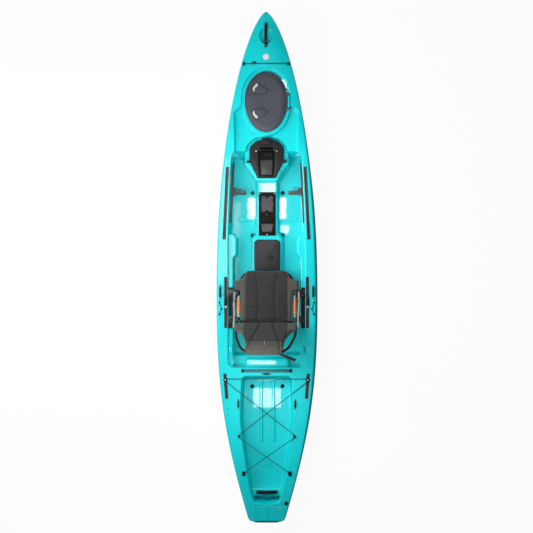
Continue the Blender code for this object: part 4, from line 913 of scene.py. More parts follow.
def egg(half: float, fore: float, aft: float, centre: float, count: int = 72) -> Outline:
    """Egg-shaped outline.

    Args:
        half: Half width at its widest line.
        fore: Reach forward of that line.
        aft: Reach aft of it.
        centre: Place of the line along the boat.
        count: Number of points.

    Returns:
        Points of the outline.
    """
    turns = (2.0 * math.pi * (k + 0.5) / count for k in range(count))
    return [Vector((half * math.cos(a), centre + (fore if math.sin(a) > 0.0 else aft)
                    * math.sin(a))) for a in turns]


def offset(points: Outline, amount: float) -> Outline:
    """Outline moved outwards by a distance.

    Args:
        points: Counter-clockwise outline.
        amount: Distance, negative for inwards.

    Returns:
        The moved outline.
    """
    out = []
    for i, p in enumerate(points):
        first = (p - points[i - 1]).normalized()
        second = (points[(i + 1) % len(points)] - p).normalized()
        normal = Vector((first.y + second.y, -first.x - second.x)).normalized()
        out.append(p + normal * amount / max(0.6, normal.dot(Vector((first.y, -first.x)))))
    return out


def fillet_path(corners: list[Bend], steps: int = 10) -> list[Vector]:
    """Path through corner points in space, each rounded.

    Args:
        corners: x, y, z and radius of each corner.
        steps: Pieces round each corner.

    Returns:
        Points of the path.
    """
    out = []
    for i, (x, y, z, radius) in enumerate(corners):
        here = Vector((x, y, z))
        if radius <= 0.0 or i in (0, len(corners) - 1):
            out.append(here)
            continue
        first = here + (Vector(corners[i - 1][:3]) - here).normalized() * radius
        last = here + (Vector(corners[i + 1][:3]) - here).normalized() * radius
        for k in range(steps + 1):
            t = k / steps
            out.append(first.lerp(here, t).lerp(here.lerp(last, t), t))
    return out


def bent_loop(half: list[Bend]) -> list[Vector]:
    """Closed line, the same on both sides.

    Args:
        half: x, y, z and radius of each corner on one side, from middle to middle.

    Returns:
        Points of the loop.
    """
    path = fillet_path(half)
    return path + [Vector((-p.x, p.y, p.z)) for p in path[-2:0:-1]]


def lengthwise(run: Vector) -> Matrix:
    """Turn that lays Y along a run, with Z up."""
    return run.to_track_quat("Y", "Z").to_matrix()


@dataclass
class Studio:
    """Camera, pale floor and soft lamps."""

    view_width: float = 4.468
    lens: float = 200.0
    lean: float = 2.5
    centre: Point = (-0.003, 0.0105, 0.26)

    def camera(self) -> None:
        """Sets the camera above the boat with the bow up in the frame."""
        data = bpy.data.cameras.new("camera")
        data.lens = self.lens
        data.sensor_width = 36.0
        far = self.view_width / 2.0 / (18.0 / self.lens)
        turn = math.radians(self.lean)
        data.clip_end = 2.0 * far
        made = linked("camera", data)
        made.location = Vector(self.centre) + Vector((math.sin(turn), 0.0, math.cos(turn))) * far
        made.rotation_euler = (0.0, turn, 0.0)
        bpy.context.scene.camera = made

    def lamps(self) -> None:
        """Hangs three soft lamps and the level panels seen in the gloss, and sets a pale world."""
        plan = (("port", (-2.2, 0.2, 2.5), (1.1, 4.8), 132.0),
                ("starboard", (2.4, -0.3, 2.6), (0.8, 4.4), 2.0),
                ("bow", (0.0, 3.6, 2.2), (1.4, 0.6), 12.0),
                ("ridge_panel", (-0.038, 0.690, 1.2), (0.13, 0.11), 1.6),
                ("port_foot_panel", (-0.188, 0.520, 1.2), (0.066, 0.19), 1.7),
                ("starboard_foot_panel", (0.084, 0.520, 1.2), (0.060, 0.19), 1.7),
                ("starboard_heel_panel", (0.104, 0.338, 1.2), (0.075, 0.07), 0.5),
                ("tank_panel", (-0.046, -1.140, 1.2), (0.24, 0.17), 3.2),
                ("step_panel", (-0.094, -0.815, 1.2), (0.26, 0.05), 1.1),
                ("hatch_panel", (0.108, 1.546, 1.2), (0.07, 0.15), 0.9))
        for name, place, (wide, long), power in plan:
            data = bpy.data.lights.new("lamp_" + name, "AREA")
            data.shape = "RECTANGLE"
            data.size = wide
            data.size_y = long
            data.energy = power
            made = linked("lamp_" + name, data)
            made.location = place
            aim = Vector((0.0, 0.3 * place[1], 0.2)) - Vector(place)
            if name.endswith("panel"):
                aim = Vector((0.0, 0.0, -1.0))
            made.rotation_euler = aim.to_track_quat("-Z", "Y").to_euler()
        world = bpy.data.worlds.new("studio")
        world.use_nodes = True
        wires = Wiring(world.node_tree)
        plain = world.node_tree.nodes["Background"]
        path = wires.node("ShaderNodeLightPath")
        seen = wires.math("MAXIMUM", path.outputs["Is Camera Ray"],
                          path.outputs["Is Transmission Ray"])
        wires.feed(plain, {"Color": (1.0, 1.0, 1.0, 1.0),
                           "Strength": wires.spread(seen, 0.0, 1.0, 0.10, 1.0)})
        bpy.context.scene.world = world

    def floor(self) -> None:
        """Lays a white floor that keeps the boat's shadow."""
        bm = bmesh.new()
        bmesh.ops.create_grid(bm, x_segments=1, y_segments=1, size=30.0)
        bmesh.ops.translate(bm, vec=(0.0, 0.0, -0.0015), verts=bm.verts)
        mesh = bpy.data.meshes.new("floor")
        bm.to_mesh(mesh)
        bm.free()
        made = linked("floor", mesh)
        paint, wires, shader = open_material("floor_white")
        wires.feed(shader, {"Base Color": (0.24, 0.24, 0.24, 1.0), "Roughness": 0.9})
        path = wires.node("ShaderNodeLightPath")
        seen = path.outputs["Is Camera Ray"]
        glow = wires.node("ShaderNodeEmission", {"Color": (1.0, 1.0, 1.0, 1.0),
                                                 "Strength": 1.16})
        share = wires.math("MULTIPLY", seen, 0.82)
        mix = wires.node("ShaderNodeMixShader", {0: share, 1: shader.outputs[0],
                                                 2: glow.outputs[0]})
        paint.node_tree.links.new(mix.outputs[0],
                                  paint.node_tree.nodes["Material Output"].inputs[0])
        mesh.materials.append(paint)

    def build(self) -> None:
        """Sets up everything that isn't the boat."""
        self.camera()
        self.lamps()
        self.floor()
        bpy.context.scene.view_settings.view_transform = "Standard"
        LOG.info("studio set")


class HullLines:
    """The hull's lines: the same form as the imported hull, read anywhere."""

    mid = ((0.0, 0.0), (0.28, 0.0), (0.42, 0.05), (0.56, 0.05), (0.70, 0.012), (0.84, 0.06),
           (0.94, 0.20), (0.985, 0.42), (1.0, 0.66), (0.995, 0.88), (0.975, 0.975), (0.945, 1.0))
    bow = ((0.0, 0.0), (0.10, 0.05), (0.22, 0.14), (0.34, 0.25), (0.46, 0.37), (0.58, 0.50),
           (0.70, 0.62), (0.82, 0.74), (0.92, 0.85), (0.985, 0.94), (0.985, 0.985), (0.945, 1.0))

    @staticmethod
    def half_beam(y: float) -> float:
        """Half width of the hull at a station.

        Args:
            y: Place of the station.

        Returns:
            Half width.
        """
        s = 2.0 * y / LENGTH
        if s > -0.12:
            t = min(1.0, (s + 0.12) / 1.12)
            return max(0.018, BEAM / 2.0 * (1.0 - t ** 2.118) ** 0.666)
        t = 0.758 * (-0.12 - s) / 0.88
        back = max(0.0, 0.045 - (y + LENGTH / 2.0))
        corner = 0.045 - math.sqrt(max(0.0, 0.045 ** 2 - back ** 2))
        return BEAM / 2.0 * (1.0 - t ** 2.503) ** 1.53 - corner

    @staticmethod
    def sheer(y: float) -> float:
        """Height of the gunwale at a station."""
        s = 2.0 * y / LENGTH
        return SHEER_MID + 0.085 * ramp(-0.2, 0.62, s) + 0.020 * ramp(0.5, 1.0, s)

    @staticmethod
    def keel(y: float) -> float:
        """Height of the keel at a station."""
        s = 2.0 * y / LENGTH
        return 0.30 * max(0.0, (s - 0.62) / 0.38) ** 3.2 + 0.10 * max(0.0, (-s - 0.6) / 0.4) ** 2

    @classmethod
    def deck(cls, x: float, y: float) -> float:
        """Height of the uncut deck.

        Args:
            x: Place across.
            y: Place along.

        Returns:
            Height.
        """
        s = 2.0 * y / LENGTH
        crown = 0.030 * ramp(0.4, 0.62, s) * (1.0 - ramp(0.86, 1.0, s))
        across = min(1.0, abs(x) / (0.945 * cls.half_beam(y)))
        return cls.sheer(y) + crown * (1.0 - across ** 2)

    @classmethod
    def section(cls, y: float, fine: int = 3) -> list[Vector]:
        """One closed cross section, smooth through its stations.

        Args:
            y: Place along the boat.
            fine: Pieces between neighbouring stations of the half section.

        Returns:
            Corners of the section as x and z.
        """
        wide, low, high = cls.half_beam(y), cls.keel(y), cls.sheer(y)
        s = 2.0 * y / LENGTH
        sharp = ramp(0.2, 0.9, s) + 0.3 * ramp(0.55, 1.0, -s)
        flat = 1.0 - ramp(0.8, 0.97, -s)
        posts = []
        for (mx, mz), (bx, bz) in zip(cls.mid, cls.bow):
            x = wide * (mx + (bx - mx) * sharp)
            mz *= flat if mx < 0.8 else 1.0
            posts.append(Vector((x, low + (high - low) * (mz + (bz - mz) * sharp))))
        half = []
        for i in range(len(posts) - 1):
            before = posts[i - 1] if i else Vector((-posts[1].x, posts[1].y))
            after = posts[min(i + 2, len(posts) - 1)]
            for k in range(fine):
                t = k / fine
                half.append(0.5 * ((2.0 * posts[i]) + (posts[i + 1] - before) * t
                                   + (2.0 * before - 5.0 * posts[i] + 4.0 * posts[i + 1]
                                      - after) * t ** 2
                                   + (3.0 * posts[i] - before - 3.0 * posts[i + 1]
                                      + after) * t ** 3))
        half.append(posts[-1])
        half += [Vector((wide * share, cls.deck(wide * share, y)))
                 for share in (0.86, 0.74, 0.62, 0.46, 0.31, 0.16, 0.0)]
        whole = half + [Vector((-p.x, p.y)) for p in half[-2:0:-1]]
        end = max(0.0, 0.016 - (LENGTH / 2.0 - abs(y)))
        soft = 0.016 - math.sqrt(max(0.0, 0.016 ** 2 - end ** 2))
        middle = (low + high) / 2.0
        shrink = (1.0 - soft / wide, 1.0 - 2.0 * soft / (high - low))
        return [Vector((p.x * shrink[0], middle + (p.y - middle) * shrink[1])) for p in whole]


@dataclass
class Hull:
    """One moulded hull with its wells, ridges, recesses and scupper tubes."""

    footwell: float = 0.100
    ridge: float = 0.190
    pod: float = 0.300
    recess: float = 0.338
    hatch: float = 0.386
    ledge: float = 0.270
    shelf: float = 0.185
    tank: float = 0.165
    grip_y: float = -1.881
    toe_half: float = 0.287
    ridge_half: float = 0.084
    scuppers: tuple[float, ...] = (0.631, 0.272, -0.997)
    scupper_x: float = 0.1275
    root: float = 0.03

    def loft(self, name: str, rings: list[list[Vector]]) -> bpy.types.Object:
        """Closed solid through a row of rings of points."""
        return Piece(name).skin(rings).solid()

    def well(self, name: str, points: Outline, floor: float, lip: float = 0.010,
             slopes: tuple[float, float, float] = (0.05, 0.05, 0.05), fillet: float = 0.022,
             rim: object = HullLines.deck, steps: int = 4) -> bpy.types.Object:
        """Solid that cuts a moulded well: rounded lip, drafted wall, filleted floor.

        Args:
            name: Name of the solid.
            points: Outline at the wall's top.
            floor: Height of the floor.
            lip: Radius of the lip.
            slopes: Run per rise of the side, fore and aft walls.
            fillet: Radius at the floor.
            rim: Height of the deck at a point.
            steps: Facets round lip and fillet.

        Returns:
            The solid.
        """
        outs = [q - p for p, q in zip(points, offset(points, 1.0))]
        rings = []
        for k in range(steps + 1):
            a = math.radians(72.0 * (1.0 - k / steps))
            ring = []
            for p, n in zip(points, outs):
                q = p + n * lip * (1.0 - math.cos(a))
                ring.append(Vector((q.x, q.y, rim(q.x, q.y) - lip + lip * math.sin(a))))
            if not k:
                rings.append([v + Vector((0.0, 0.0, 0.08)) for v in ring])
            rings.append(ring)
        for k in range(steps + 1):
            a = 0.5 * math.pi * k / steps
            ring = []
            for p, n in zip(points, outs):
                slope = slopes[0] + (slopes[1] - slopes[0]) * max(0.0, n.y) ** 2
                slope += (slopes[2] - slopes[0]) * max(0.0, -n.y) ** 2
                draft = slope * max(0.0, rim(p.x, p.y) - lip - floor - fillet)
                q = p + n * (-draft - fillet + fillet * math.cos(a))
                ring.append(Vector((q.x, q.y, floor + fillet - fillet * math.sin(a))))
            rings.append(ring)
        return self.loft(name, rings)

    def boss(self, name: str, points: Outline, top: float, base: float, slope: float = 0.1,
             edge: float = 0.012, steps: int = 4) -> bpy.types.Object:
        """Solid that stands up in a well, with a rounded top edge and sloping sides.

        Args:
            name: Name of the solid.
            points: Outline at the top.
            top: Height of its top.
            base: Height where it starts.
            slope: Run per rise of its sides.
            edge: Radius of the top edge.
            steps: Facets round that edge.

        Returns:
            The solid.
        """
        levels = [(slope * (top - base), base)]
        for k in range(steps + 1):
            a = 0.5 * math.pi * k / steps
            levels.append((edge * math.cos(a) - edge + slope * edge * (1.0 - k / steps),
                           top - edge + edge * math.sin(a)))
        return Piece(name).layers(points, levels).solid()

    def lip_height(self, x: float, y: float) -> float:
        """Height that the lip of the footwells meets: the recess ahead of them, or the deck."""
        share = ramp(self.toe_half - 0.05, self.toe_half - 0.005, abs(x)) if y > 0.942 else 1.0
        return self.recess + (HullLines.deck(x, y) - self.recess) * share

    def fore_wells(self) -> list[bpy.types.Object]:
        """Recess round the bow hatch, seat of its lid and arch ahead of the console.

        Returns:
            Cutters for the fore deck.
        """
        recess = self.well("recess", mirrored(
            [(0.0, 1.420, 0), (0.19, 1.372, 0.05), (0.270, 1.300, 0.03), (0.262, 0.930, 0)]),
            self.recess, 0.008, (0.2, 0.4, 0.2), 0.012)
        boss = self.boss("hatch_boss", BowHatch().line(0.028), self.hatch,
                         self.recess - self.root, 0.15, 0.006)
        boolean(recess, [boss])
        hatch = self.well("hatch_seat", BowHatch().line(0.030), self.hatch, 0.008, fillet=0.006,
                          rim=lambda x, y: max(HullLines.deck(x, y), self.hatch + 0.016))
        arch = self.well("arch", mirrored(
            [(0.0, 1.096, 0), (0.10, 1.082, 0.08), (0.160, 1.030, 0.06), (0.173, 0.975, 0.0),
             (0.173, 0.900, 0)]), self.pod, 0.007, (0.1, 0.1, 0.1), 0.010,
            rim=lambda x, y: self.recess)
        return [recess, hatch, arch]

    def cockpit(self) -> bpy.types.Object:
        """Footwells with the pedestal, ridge, ledges, step and creases that stand in them.

        Returns:
            Cutter for the cockpit.
        """
        base = self.footwell - self.root
        well = self.well("cockpit", mirrored(
            [(self.toe_half, 0.972, 0.06), (0.301, 0.80, 0), (0.317, 0.42, 0), (0.322, 0.20, 0),
             (0.322, -0.833, 0.05)]), self.footwell, 0.010, (0.035, 0.26, 0.1),
            rim=self.lip_height)
        pedestal = self.boss("pedestal", mirrored(
            [(0.182, 1.02, 0), (0.182, 0.86, 0.03), (0.125, 0.80, 0.05),
             (self.ridge_half + 0.006, 0.725, 0.02)]), self.pod, base, 0.10, 0.012)
        ridge = self.boss("ridge", mirrored(
            [(0.175, 1.02, 0), (0.170, 0.86, 0.04), (self.ridge_half, 0.745, 0.06),
             (self.ridge_half, 0.290, 0.05), (0.122, 0.250, 0.03), (0.122, -0.052, 0.04)]),
            self.ridge, base, 0.20, 0.010)
        ledges = [self.boss("ledge", rounded([(sign * x, y, r) for x, y, r in (
            (0.380, 0.285, 0), (0.285, 0.285, 0.02), (0.256, 0.245, 0.02),
            (0.256, 0.110, 0.02), (0.283, 0.080, 0.02), (0.283, -0.873, 0),
            (0.380, -0.873, 0))]), self.ledge, base, 0.05, 0.010) for _, sign in SIDES]
        shelf = self.boss("shelf", oblong(0.36, -0.735, -0.90), self.shelf, base, 0.25, 0.012)
        step = self.boss("step", rounded([(0.182, -0.760, 0.03), (-0.182, -0.760, 0.03),
                                          (-0.182, -0.90, 0), (0.182, -0.90, 0)]),
                         self.shelf + 0.05, base, 0.12, 0.020)
        creases = [self.boss("crease", rounded([(x + 0.078, 0.430, 0.01), (x - 0.078, 0.426, 0.01),
                                                (x - 0.078, 0.388, 0.01),
                                                (x + 0.078, 0.392, 0.01)]),
                             self.footwell + 0.005, base, 0.05, 0.0045)
                   for x in (-0.170, 0.170)]
        boolean(well, [pedestal, ridge, *ledges, shelf, step, *creases])
        return well

    def tank_well(self) -> bpy.types.Object:
        """Tankwell with its two ribs and the bridge under the stern handle.

        Returns:
            Cutter for the tankwell.
        """
        base = self.tank - self.root
        well = self.well("tank", mirrored(
            [(0.207, -0.910, 0.04), (0.222, -1.242, 0), (0.202, -1.462, 0.2),
             (0.160, -1.744, 0.2), (0.128, -1.895, 0.1), (0.100, -1.960, 0.03),
             (0.0, -1.983, 0)]), self.tank, 0.010, (0.10, 0.15, 0.25))
        ribs = [self.boss("rib", oblong(0.010, -0.955, -1.455, x=x), self.tank + 0.014, base,
                          0.4, 0.005) for x in (-0.051, 0.051)]
        bridge = self.boss("bridge", oblong(0.17, self.grip_y + 0.031, self.grip_y - 0.031),
                           self.tank + 0.075, base, 0.2, 0.012)
        boolean(well, [*ribs, bridge])
        return well

    def wells(self) -> list[bpy.types.Object]:
        """Every moulded well, recess and grip that is cut from the hull.

        Returns:
            Cutters for them.
        """
        out = [*self.fore_wells(), self.cockpit(), self.tank_well()]
        out.append(self.well("grip", egg(0.055, 0.066, 0.066, 1.934, 48), self.hatch, 0.006,
                             (0.1, 0.1, 0.1), 0.012))
        return out

    def bar(self, name: str, radius: float, depth: float, centre: Point) -> bpy.types.Object:
        """Round upright cutter.

        Args:
            name: Its name.
            radius: Its radius.
            depth: Its height.
            centre: Its centre.

        Returns:
            The cutter.
        """
        ring = oval((centre[0], centre[1], 0.0), radius, radius)
        return self.loft(name, [[v + UP * (centre[2] + half) for v in ring]
                                for half in (-depth / 2.0, depth / 2.0)])

    def holds(self) -> list[bpy.types.Object]:
        """Hatch mouths with a plain hold under each.

        Returns:
            Cutters for the bow and the middle.
        """
        bow = self.loft("bow_hold", [[Vector((p.x, p.y, z)) for p in BowHatch().line(off)]
                                     for off, z in ((-0.045, 0.150), (0.0, 0.300), (0.0, 0.360),
                                                    (-0.022, 0.376), (-0.022, 0.48))])
        middle = Piece("mid_hold").layers(oblong(0.075, 0.190, 0.020, 0.006), [
            (0.004, 0.045), (0.004, 0.178), (0.0, 0.186), (0.0, 0.24)]).solid()
        return [bow, middle]

    def pocket(self, name: str, wide: float, first: Vector, last: Vector,
               tall: float = 0.06) -> bpy.types.Object:
        """Flat-bottomed recess for a piece that lies between two points.

        Args:
            name: Name of the solid.
            wide: Width of the piece.
            first: One end of its underside.
            last: The other end.
            tall: Height of the solid.

        Returns:
            The solid.
        """
        turn = lengthwise(last - first)
        size = (wide + 2.0 * GAP, (last - first).length + 2.0 * GAP, tall)
        centre = (first + last) / 2.0 + turn @ Vector((0.0, 0.0, tall / 2.0 - GAP))
        return Piece(name).block(size, centre, 0.0, 1, turn).solid()

    def side_seats(self, sign: float) -> list[bpy.types.Object]:
        """Recesses on one side for the foot rail, the carry handle's feet and the bow eye.

        Args:
            sign: -1 for port, 1 for starboard.

        Returns:
            Cutters for that side.
        """
        braces, fittings = FootBraces(), BowFittings()
        first, last = braces.line(sign)
        turn = lengthwise(last - first)
        shift = turn @ Vector((sign * (braces.wide / 2.0 - 0.0297), 0.0, 0.0))
        size = (0.06, (last - first).length + 2.0 * GAP, braces.tall + 2.0 * GAP)
        out = [Piece("foot_rail_seat").block(size, (first + last) / 2.0 + shift, 0.0, 1,
                                             turn).solid()]
        aft, fore = side_handle_ends(sign)
        for a, b in ((0.0, 0.024 / 0.11), (1.0 - 0.024 / 0.11, 1.0)):
            out.append(self.pocket("side_handle_seat", 0.016, aft.lerp(fore, a),
                                   aft.lerp(fore, b), 0.03))
        seat = on_deck(fittings.reach, fittings.line, 0.003).z + 0.0197
        out.append(Piece("eye_seat").block((0.0226, 0.0306, 0.04),
                                           (sign * fittings.reach, fittings.line, seat)).solid())
        return out

    def grooves(self) -> list[bpy.types.Object]:
        """Grooves round the stern plate, notch at the tankwell's end and ring on its floor.

        Returns:
            Cutters for them.
        """
        out = []
        for name, radius, first, last in (
                ("plate_line", 0.0048, (-0.160, -1.998), (0.160, -1.998)),
                ("plate_groove_port", 0.0048, (-0.087, -2.002), (-0.087, -2.115)),
                ("plate_groove_starboard", 0.0048, (0.018, -2.002), (0.018, -2.115)),
                ("tank_notch", 0.0060, (0.0, -1.978), (0.0, -2.000))):
            line = [Vector((*end, SHEER_MID + 0.0012)) for end in (first, last)]
            out.append(Piece(name).rod(radius, line, 10).solid())
        ring = oval((0.0, -1.776, self.tank + 0.0010), 0.104, 0.104, 64)
        out.append(Piece("tank_ring").rod(0.0042, ring, 8, True).solid())
        return out

    def pockets(self) -> list[bpy.types.Object]:
        """Recesses that tracks, foot rails, handles, badge, eyes and plug sit in.

        Returns:
            Cutters for them.
        """
        tracks, fittings = Tracks(), BowFittings()
        out = [self.pocket("track_seat", tracks.wide, on_deck(sign * x1, y1, tracks.tall),
                           on_deck(sign * x0, y0, tracks.tall))
               for _, (x0, y0), (x1, y1) in tracks.runs for _, sign in SIDES]
        for _, sign in SIDES:
            out += self.side_seats(sign)
        fore, aft = (on_deck(0.0, y, 0.003) for y in fittings.handle)
        run = (fore - aft).normalized() * 0.030
        out.append(self.pocket("handle_seat_fore", 0.026, fore - run, fore, 0.05))
        out.append(self.pocket("handle_seat_aft", 0.026, aft, aft + run, 0.05))
        out += self.grooves()
        y, r = fittings.badge
        out.append(self.bar("badge_seat", r + GAP, 0.04,
                            (0.0, y, HullLines.deck(0.0, y) + 0.0175)))
        out.append(self.bar("drain_way", 0.0108, 0.05, (*DRAIN, SHEER_MID)))
        return out

    def spots(self) -> list[Point]:
        """Places of the scuppers on their floors, fore to aft, left before right."""
        return [(sign * self.scupper_x, y, self.footwell if y > 0.0 else self.tank)
                for y in self.scuppers for _, sign in SIDES]

    def drains(self) -> list[bpy.types.Object]:
        """Cutters of the scuppers: mouth, slanting throat and ring round each.

        Returns:
            Cutters for all scuppers.
        """
        out = []
        for x, y, floor in self.spots():
            out.append(Piece("scupper_mouth").turned(
                [(0.0, 0.045), (0.0125, 0.045), (0.0155, 0.060), (0.0155, floor - 0.006),
                 (0.0175, floor - 0.002), (0.0215, floor + GAP), (0.0215, floor + 0.02),
                 (0.0, floor + 0.02)], (x, y, 0.0), None, 40).solid())
            out.append(Piece("scupper_throat").turned(
                [(0.0, -0.10), (0.0085, -0.10), (0.0085, 0.012), (0.0, 0.012)],
                (x, y, 0.045), Matrix.Rotation(-0.62, 3, "Y"), 24).solid())
            out.append(Piece("scupper_ring").turned(
                [(0.0285, floor - 0.0016), (0.0325, floor - 0.0016), (0.0335, floor + 0.01),
                 (0.0275, floor + 0.01), (0.0285, floor - 0.0016)], (x, y, 0.0), None,
                48).solid())
        return out

    def sleeves(self) -> None:
        """Black sleeves inside the scupper mouths: painted shade that makes the holes read dark.
        """
        piece = Piece("scupper_painted_shade_sleeves")
        for x, y, floor in self.spots():
            piece.turned([(0.0125, 0.0480), (0.0158, 0.0620), (0.0158, floor - 0.0080),
                          (0.0150, floor - 0.0080), (0.0150, 0.0625), (0.0060, 0.0490),
                          (0.0125, 0.0480)], (x, y, 0.0), None, 32)
        piece.done(RUBBER, "kayak")

    def build(self) -> bpy.types.Object:
        """Lofts the hull, cuts it and dresses it.

        Returns:
            The hull.
        """
        count = 150
        places = [math.sin(math.pi * (k / count - 0.5)) * 0.45 + (2.0 * k / count - 1.0) * 0.55
                  for k in range(count + 1)]
        hull = self.loft("hull_moulding", [
            [Vector((p.x, s * LENGTH / 2.0, p.y)) for p in HullLines.section(s * LENGTH / 2.0)]
            for s in places])
        drains = self.drains()
        boolean(hull, self.wells() + self.pockets())
        boolean(hull, drains + self.holds())
        # Black sleeves paint the shade inside the scupper holes.
        self.sleeves()
        mesh = hull.data
        mesh.shade_smooth()
        mesh.set_sharp_from_angle(angle=math.radians(38.0))
        weight = hull.modifiers.new("even_shading", "WEIGHTED_NORMAL")
        weight.keep_sharp = True
        weight.weight = 80
        return settle(hull, TEAL, "kayak", ("hull",))


def bar_section(wide: float, tall: float, edge: float) -> Outline:
    """Rounded rectangle about its own middle."""
    return rounded([(wide / 2.0, tall / 2.0, edge), (-wide / 2.0, tall / 2.0, edge),
                    (-wide / 2.0, -tall / 2.0, edge), (wide / 2.0, -tall / 2.0, edge)], 1.0, 0.6)


def on_deck(x: float, y: float, drop: float = 0.0) -> Vector:
    """Point on the uncut deck, or a little under it."""
    return Vector((x, y, HullLines.deck(x, y) - drop))


def side_handle_ends(sign: float) -> tuple[Vector, Vector]:
    """Undersides of the aft and fore feet of a side carry handle."""
    return (on_deck(sign * 0.3890, -0.2020 - 0.055, 0.002),
            on_deck(sign * 0.3890, -0.2020 + 0.055, 0.002))


def screws(name: str, body: str, places: list[Point], radius: float = 0.0042,
           tall: float = 0.0018, finish: Finish = STEEL) -> bpy.types.Object:
    """Sets pan-head screws on upward faces.

    Args:
        name: Name of the piece.
        body: Body that they ride on.
        places: Seats under the heads.
        radius: Radius of the heads.
        tall: Height of the heads.
        finish: Their finish.

    Returns:
        One piece with all of them.
    """
    piece = Piece(name)
    for place in places:
        piece.screw(place, radius, tall)
    return piece.done(finish, body)


def strap_handle(name: str, ends: tuple[Vector, Vector], rise: float, wide: float,
                 thick: float, foot: float, grip: bool = True, node: bool = True) -> None:
    """Moulded handle: two screwed feet, a raised bow and a thicker grip between them.

    Args:
        name: Name of the CAD node that it stands for.
        ends: Undersides of its two ends.
        rise: Height of the bow.
        wide: Width of the strap.
        thick: Thickness of the strap.
        foot: Length of each foot.
        grip: Adds the thicker, ribbed middle.
        node: Takes the place of the node of the same name.
    """
    first, last = ends
    along = (last - first).normalized()
    up = along.cross(UP).cross(along).normalized()
    span = (last - first).length
    steps = 26
    line = [first + up * thick / 2.0]
    for k in range(steps + 1):
        lift = rise * math.sin(math.pi * k / steps) ** 0.6 if 0 < k < steps else 0.0
        line.append(first + along * (foot + (span - 2.0 * foot) * k / steps)
                    + up * (lift + thick / 2.0))
    line.append(last + up * thick / 2.0)
    piece = Piece(name + "_strap").run(bar_section(wide, thick, 0.35 * thick), line)
    if grip:
        middle = line[7:-7]
        piece.run(bar_section(0.84 * wide, 1.35 * thick, 0.5 * thick), middle)
        for p in middle[2:-2:2]:
            piece.block((0.86 * wide, 0.0016, 0.0016), p + up * 0.68 * thick, 0.0004, 1,
                        lengthwise(along))
    piece.done(DECK, "kayak", (name,) if node else ())
    seats = [end + step * 0.45 * foot + up * (thick - GAP)
             for end, step in ((first, along), (last, -along))]
    screws(name + "_screws", "kayak", seats, min(0.0042, 0.26 * wide))


def knob(name: str, place: Point, radius: float, tall: float, body: str, neck: float,
         lobes: int = 8) -> None:
    """Hand knob: neck, lobed grip with a soft edge and a screw in its crown.

    Args:
        name: Name of the CAD node that it stands for.
        place: Centre of its underside.
        radius: Radius over the lobes.
        tall: Its height.
        body: Body that it rides on.
        neck: Radius of the neck.
        lobes: Number of lobes.
    """
    count = 12 * lobes
    outline = []
    for k in range(count):
        a = 2.0 * math.pi * k / count
        r = radius * (1.0 - 0.06 * (1.0 - math.cos(lobes * a)))
        outline.append(Vector((r * math.cos(a), r * math.sin(a))))
    low = 0.30 * tall
    piece = Piece(name + "_grip")
    piece.turned([(0.0, 0.0), (neck, 0.0), (neck, low + 0.001), (0.0, low + 0.001)], place)
    piece.layers(outline, [(-0.0012, low), (0.0, low + 0.0012), (0.0, 0.80 * tall),
                           (-0.0008, 0.90 * tall), (-0.0024, 0.97 * tall),
                           (-0.0042, tall)], place)
    piece.done(DECK, body, (name,))
    Piece(name + "_screw").screw((place[0], place[1], place[2] + tall - GAP),
                                 0.32 * radius, 0.0012).done(TRACK, body)


@dataclass
class BowFittings:
    """Carry handle, blank badge, bungee with its two eyes and the sliding hook."""

    handle: tuple[float, float] = (1.8380, 2.0410)
    badge: tuple[float, float] = (1.758, 0.026)
    eye_tall: float = 0.013
    line: float = 1.700
    reach: float = 0.186
    thick: float = 0.003
    hook: float = -0.104

    def cord_points(self) -> list[Vector]:
        """Middle line of the bungee, over the crowned deck."""
        places = ((self.reach - 0.006) * (k / 16.0 - 1.0) for k in range(33))
        return [on_deck(x, self.line, -self.thick - 0.0012) for x in places]

    def build(self) -> None:
        """Makes the cord first, then the fittings that hold it."""
        points = self.cord_points()
        cord = cord_line("bow_bungee_cord", points, self.thick, CORD, "kayak", ("bow_bungee",))
        for tag, sign in SIDES:
            seat = on_deck(self.reach, self.line, 0.003).z
            piece = Piece("bow_eye_body_" + tag)
            outline = rounded([(sign * x, y, r) for x, y, r in (
                (0.197, 1.7145, 0.004), (0.1752, 1.7060, 0.003), (0.1752, 1.6940, 0.003),
                (0.197, 1.6855, 0.004))])
            piece.plate(outline, seat, seat + self.eye_tall, 0.003)
            piece.done(DECK, "kayak", ("bow_eye_" + tag,))
            screws("bow_eye_screw_" + tag, "kayak",
                   [(sign * 0.1905, self.line, seat + self.eye_tall - GAP)], 0.0034,
                   0.0018, DECK)
        strap_handle("bow_handle", tuple(on_deck(0.0, y, 0.003) for y in self.handle), 0.026,
                     0.026, 0.009, 0.024)
        y, r = self.badge
        Piece("badge_disc").turned(
            [(0.0, 0.0), (r, 0.0), (r, 0.0018), (r - 0.0010, 0.0028), (r - 0.0030, 0.0028),
             (r - 0.0036, 0.0020), (r - 0.0044, 0.0020), (r - 0.0052, 0.0032), (0.0, 0.0036)],
            (0.0, y, HullLines.deck(0.0, y) - 0.0022), None, 64).done(BADGE, "kayak",
                                                                      ("bow_badge",))
        top = on_deck(self.hook, self.line, -0.0163)
        lean = (on_deck(-0.080, self.line) - on_deck(-0.128, self.line)).to_track_quat("X", "Z")
        clip = Piece("hook_bands")
        for step in (-0.008, 0.009):
            clip.block((0.004, 0.0150, 0.0009), top + Vector((step, 0.004, 0.16 * step)),
                       0.0003, 1, lean.to_matrix())
        clip.done(STEEL, "bow_hook")
        repaint(DECK, "bow_bungee_hook")


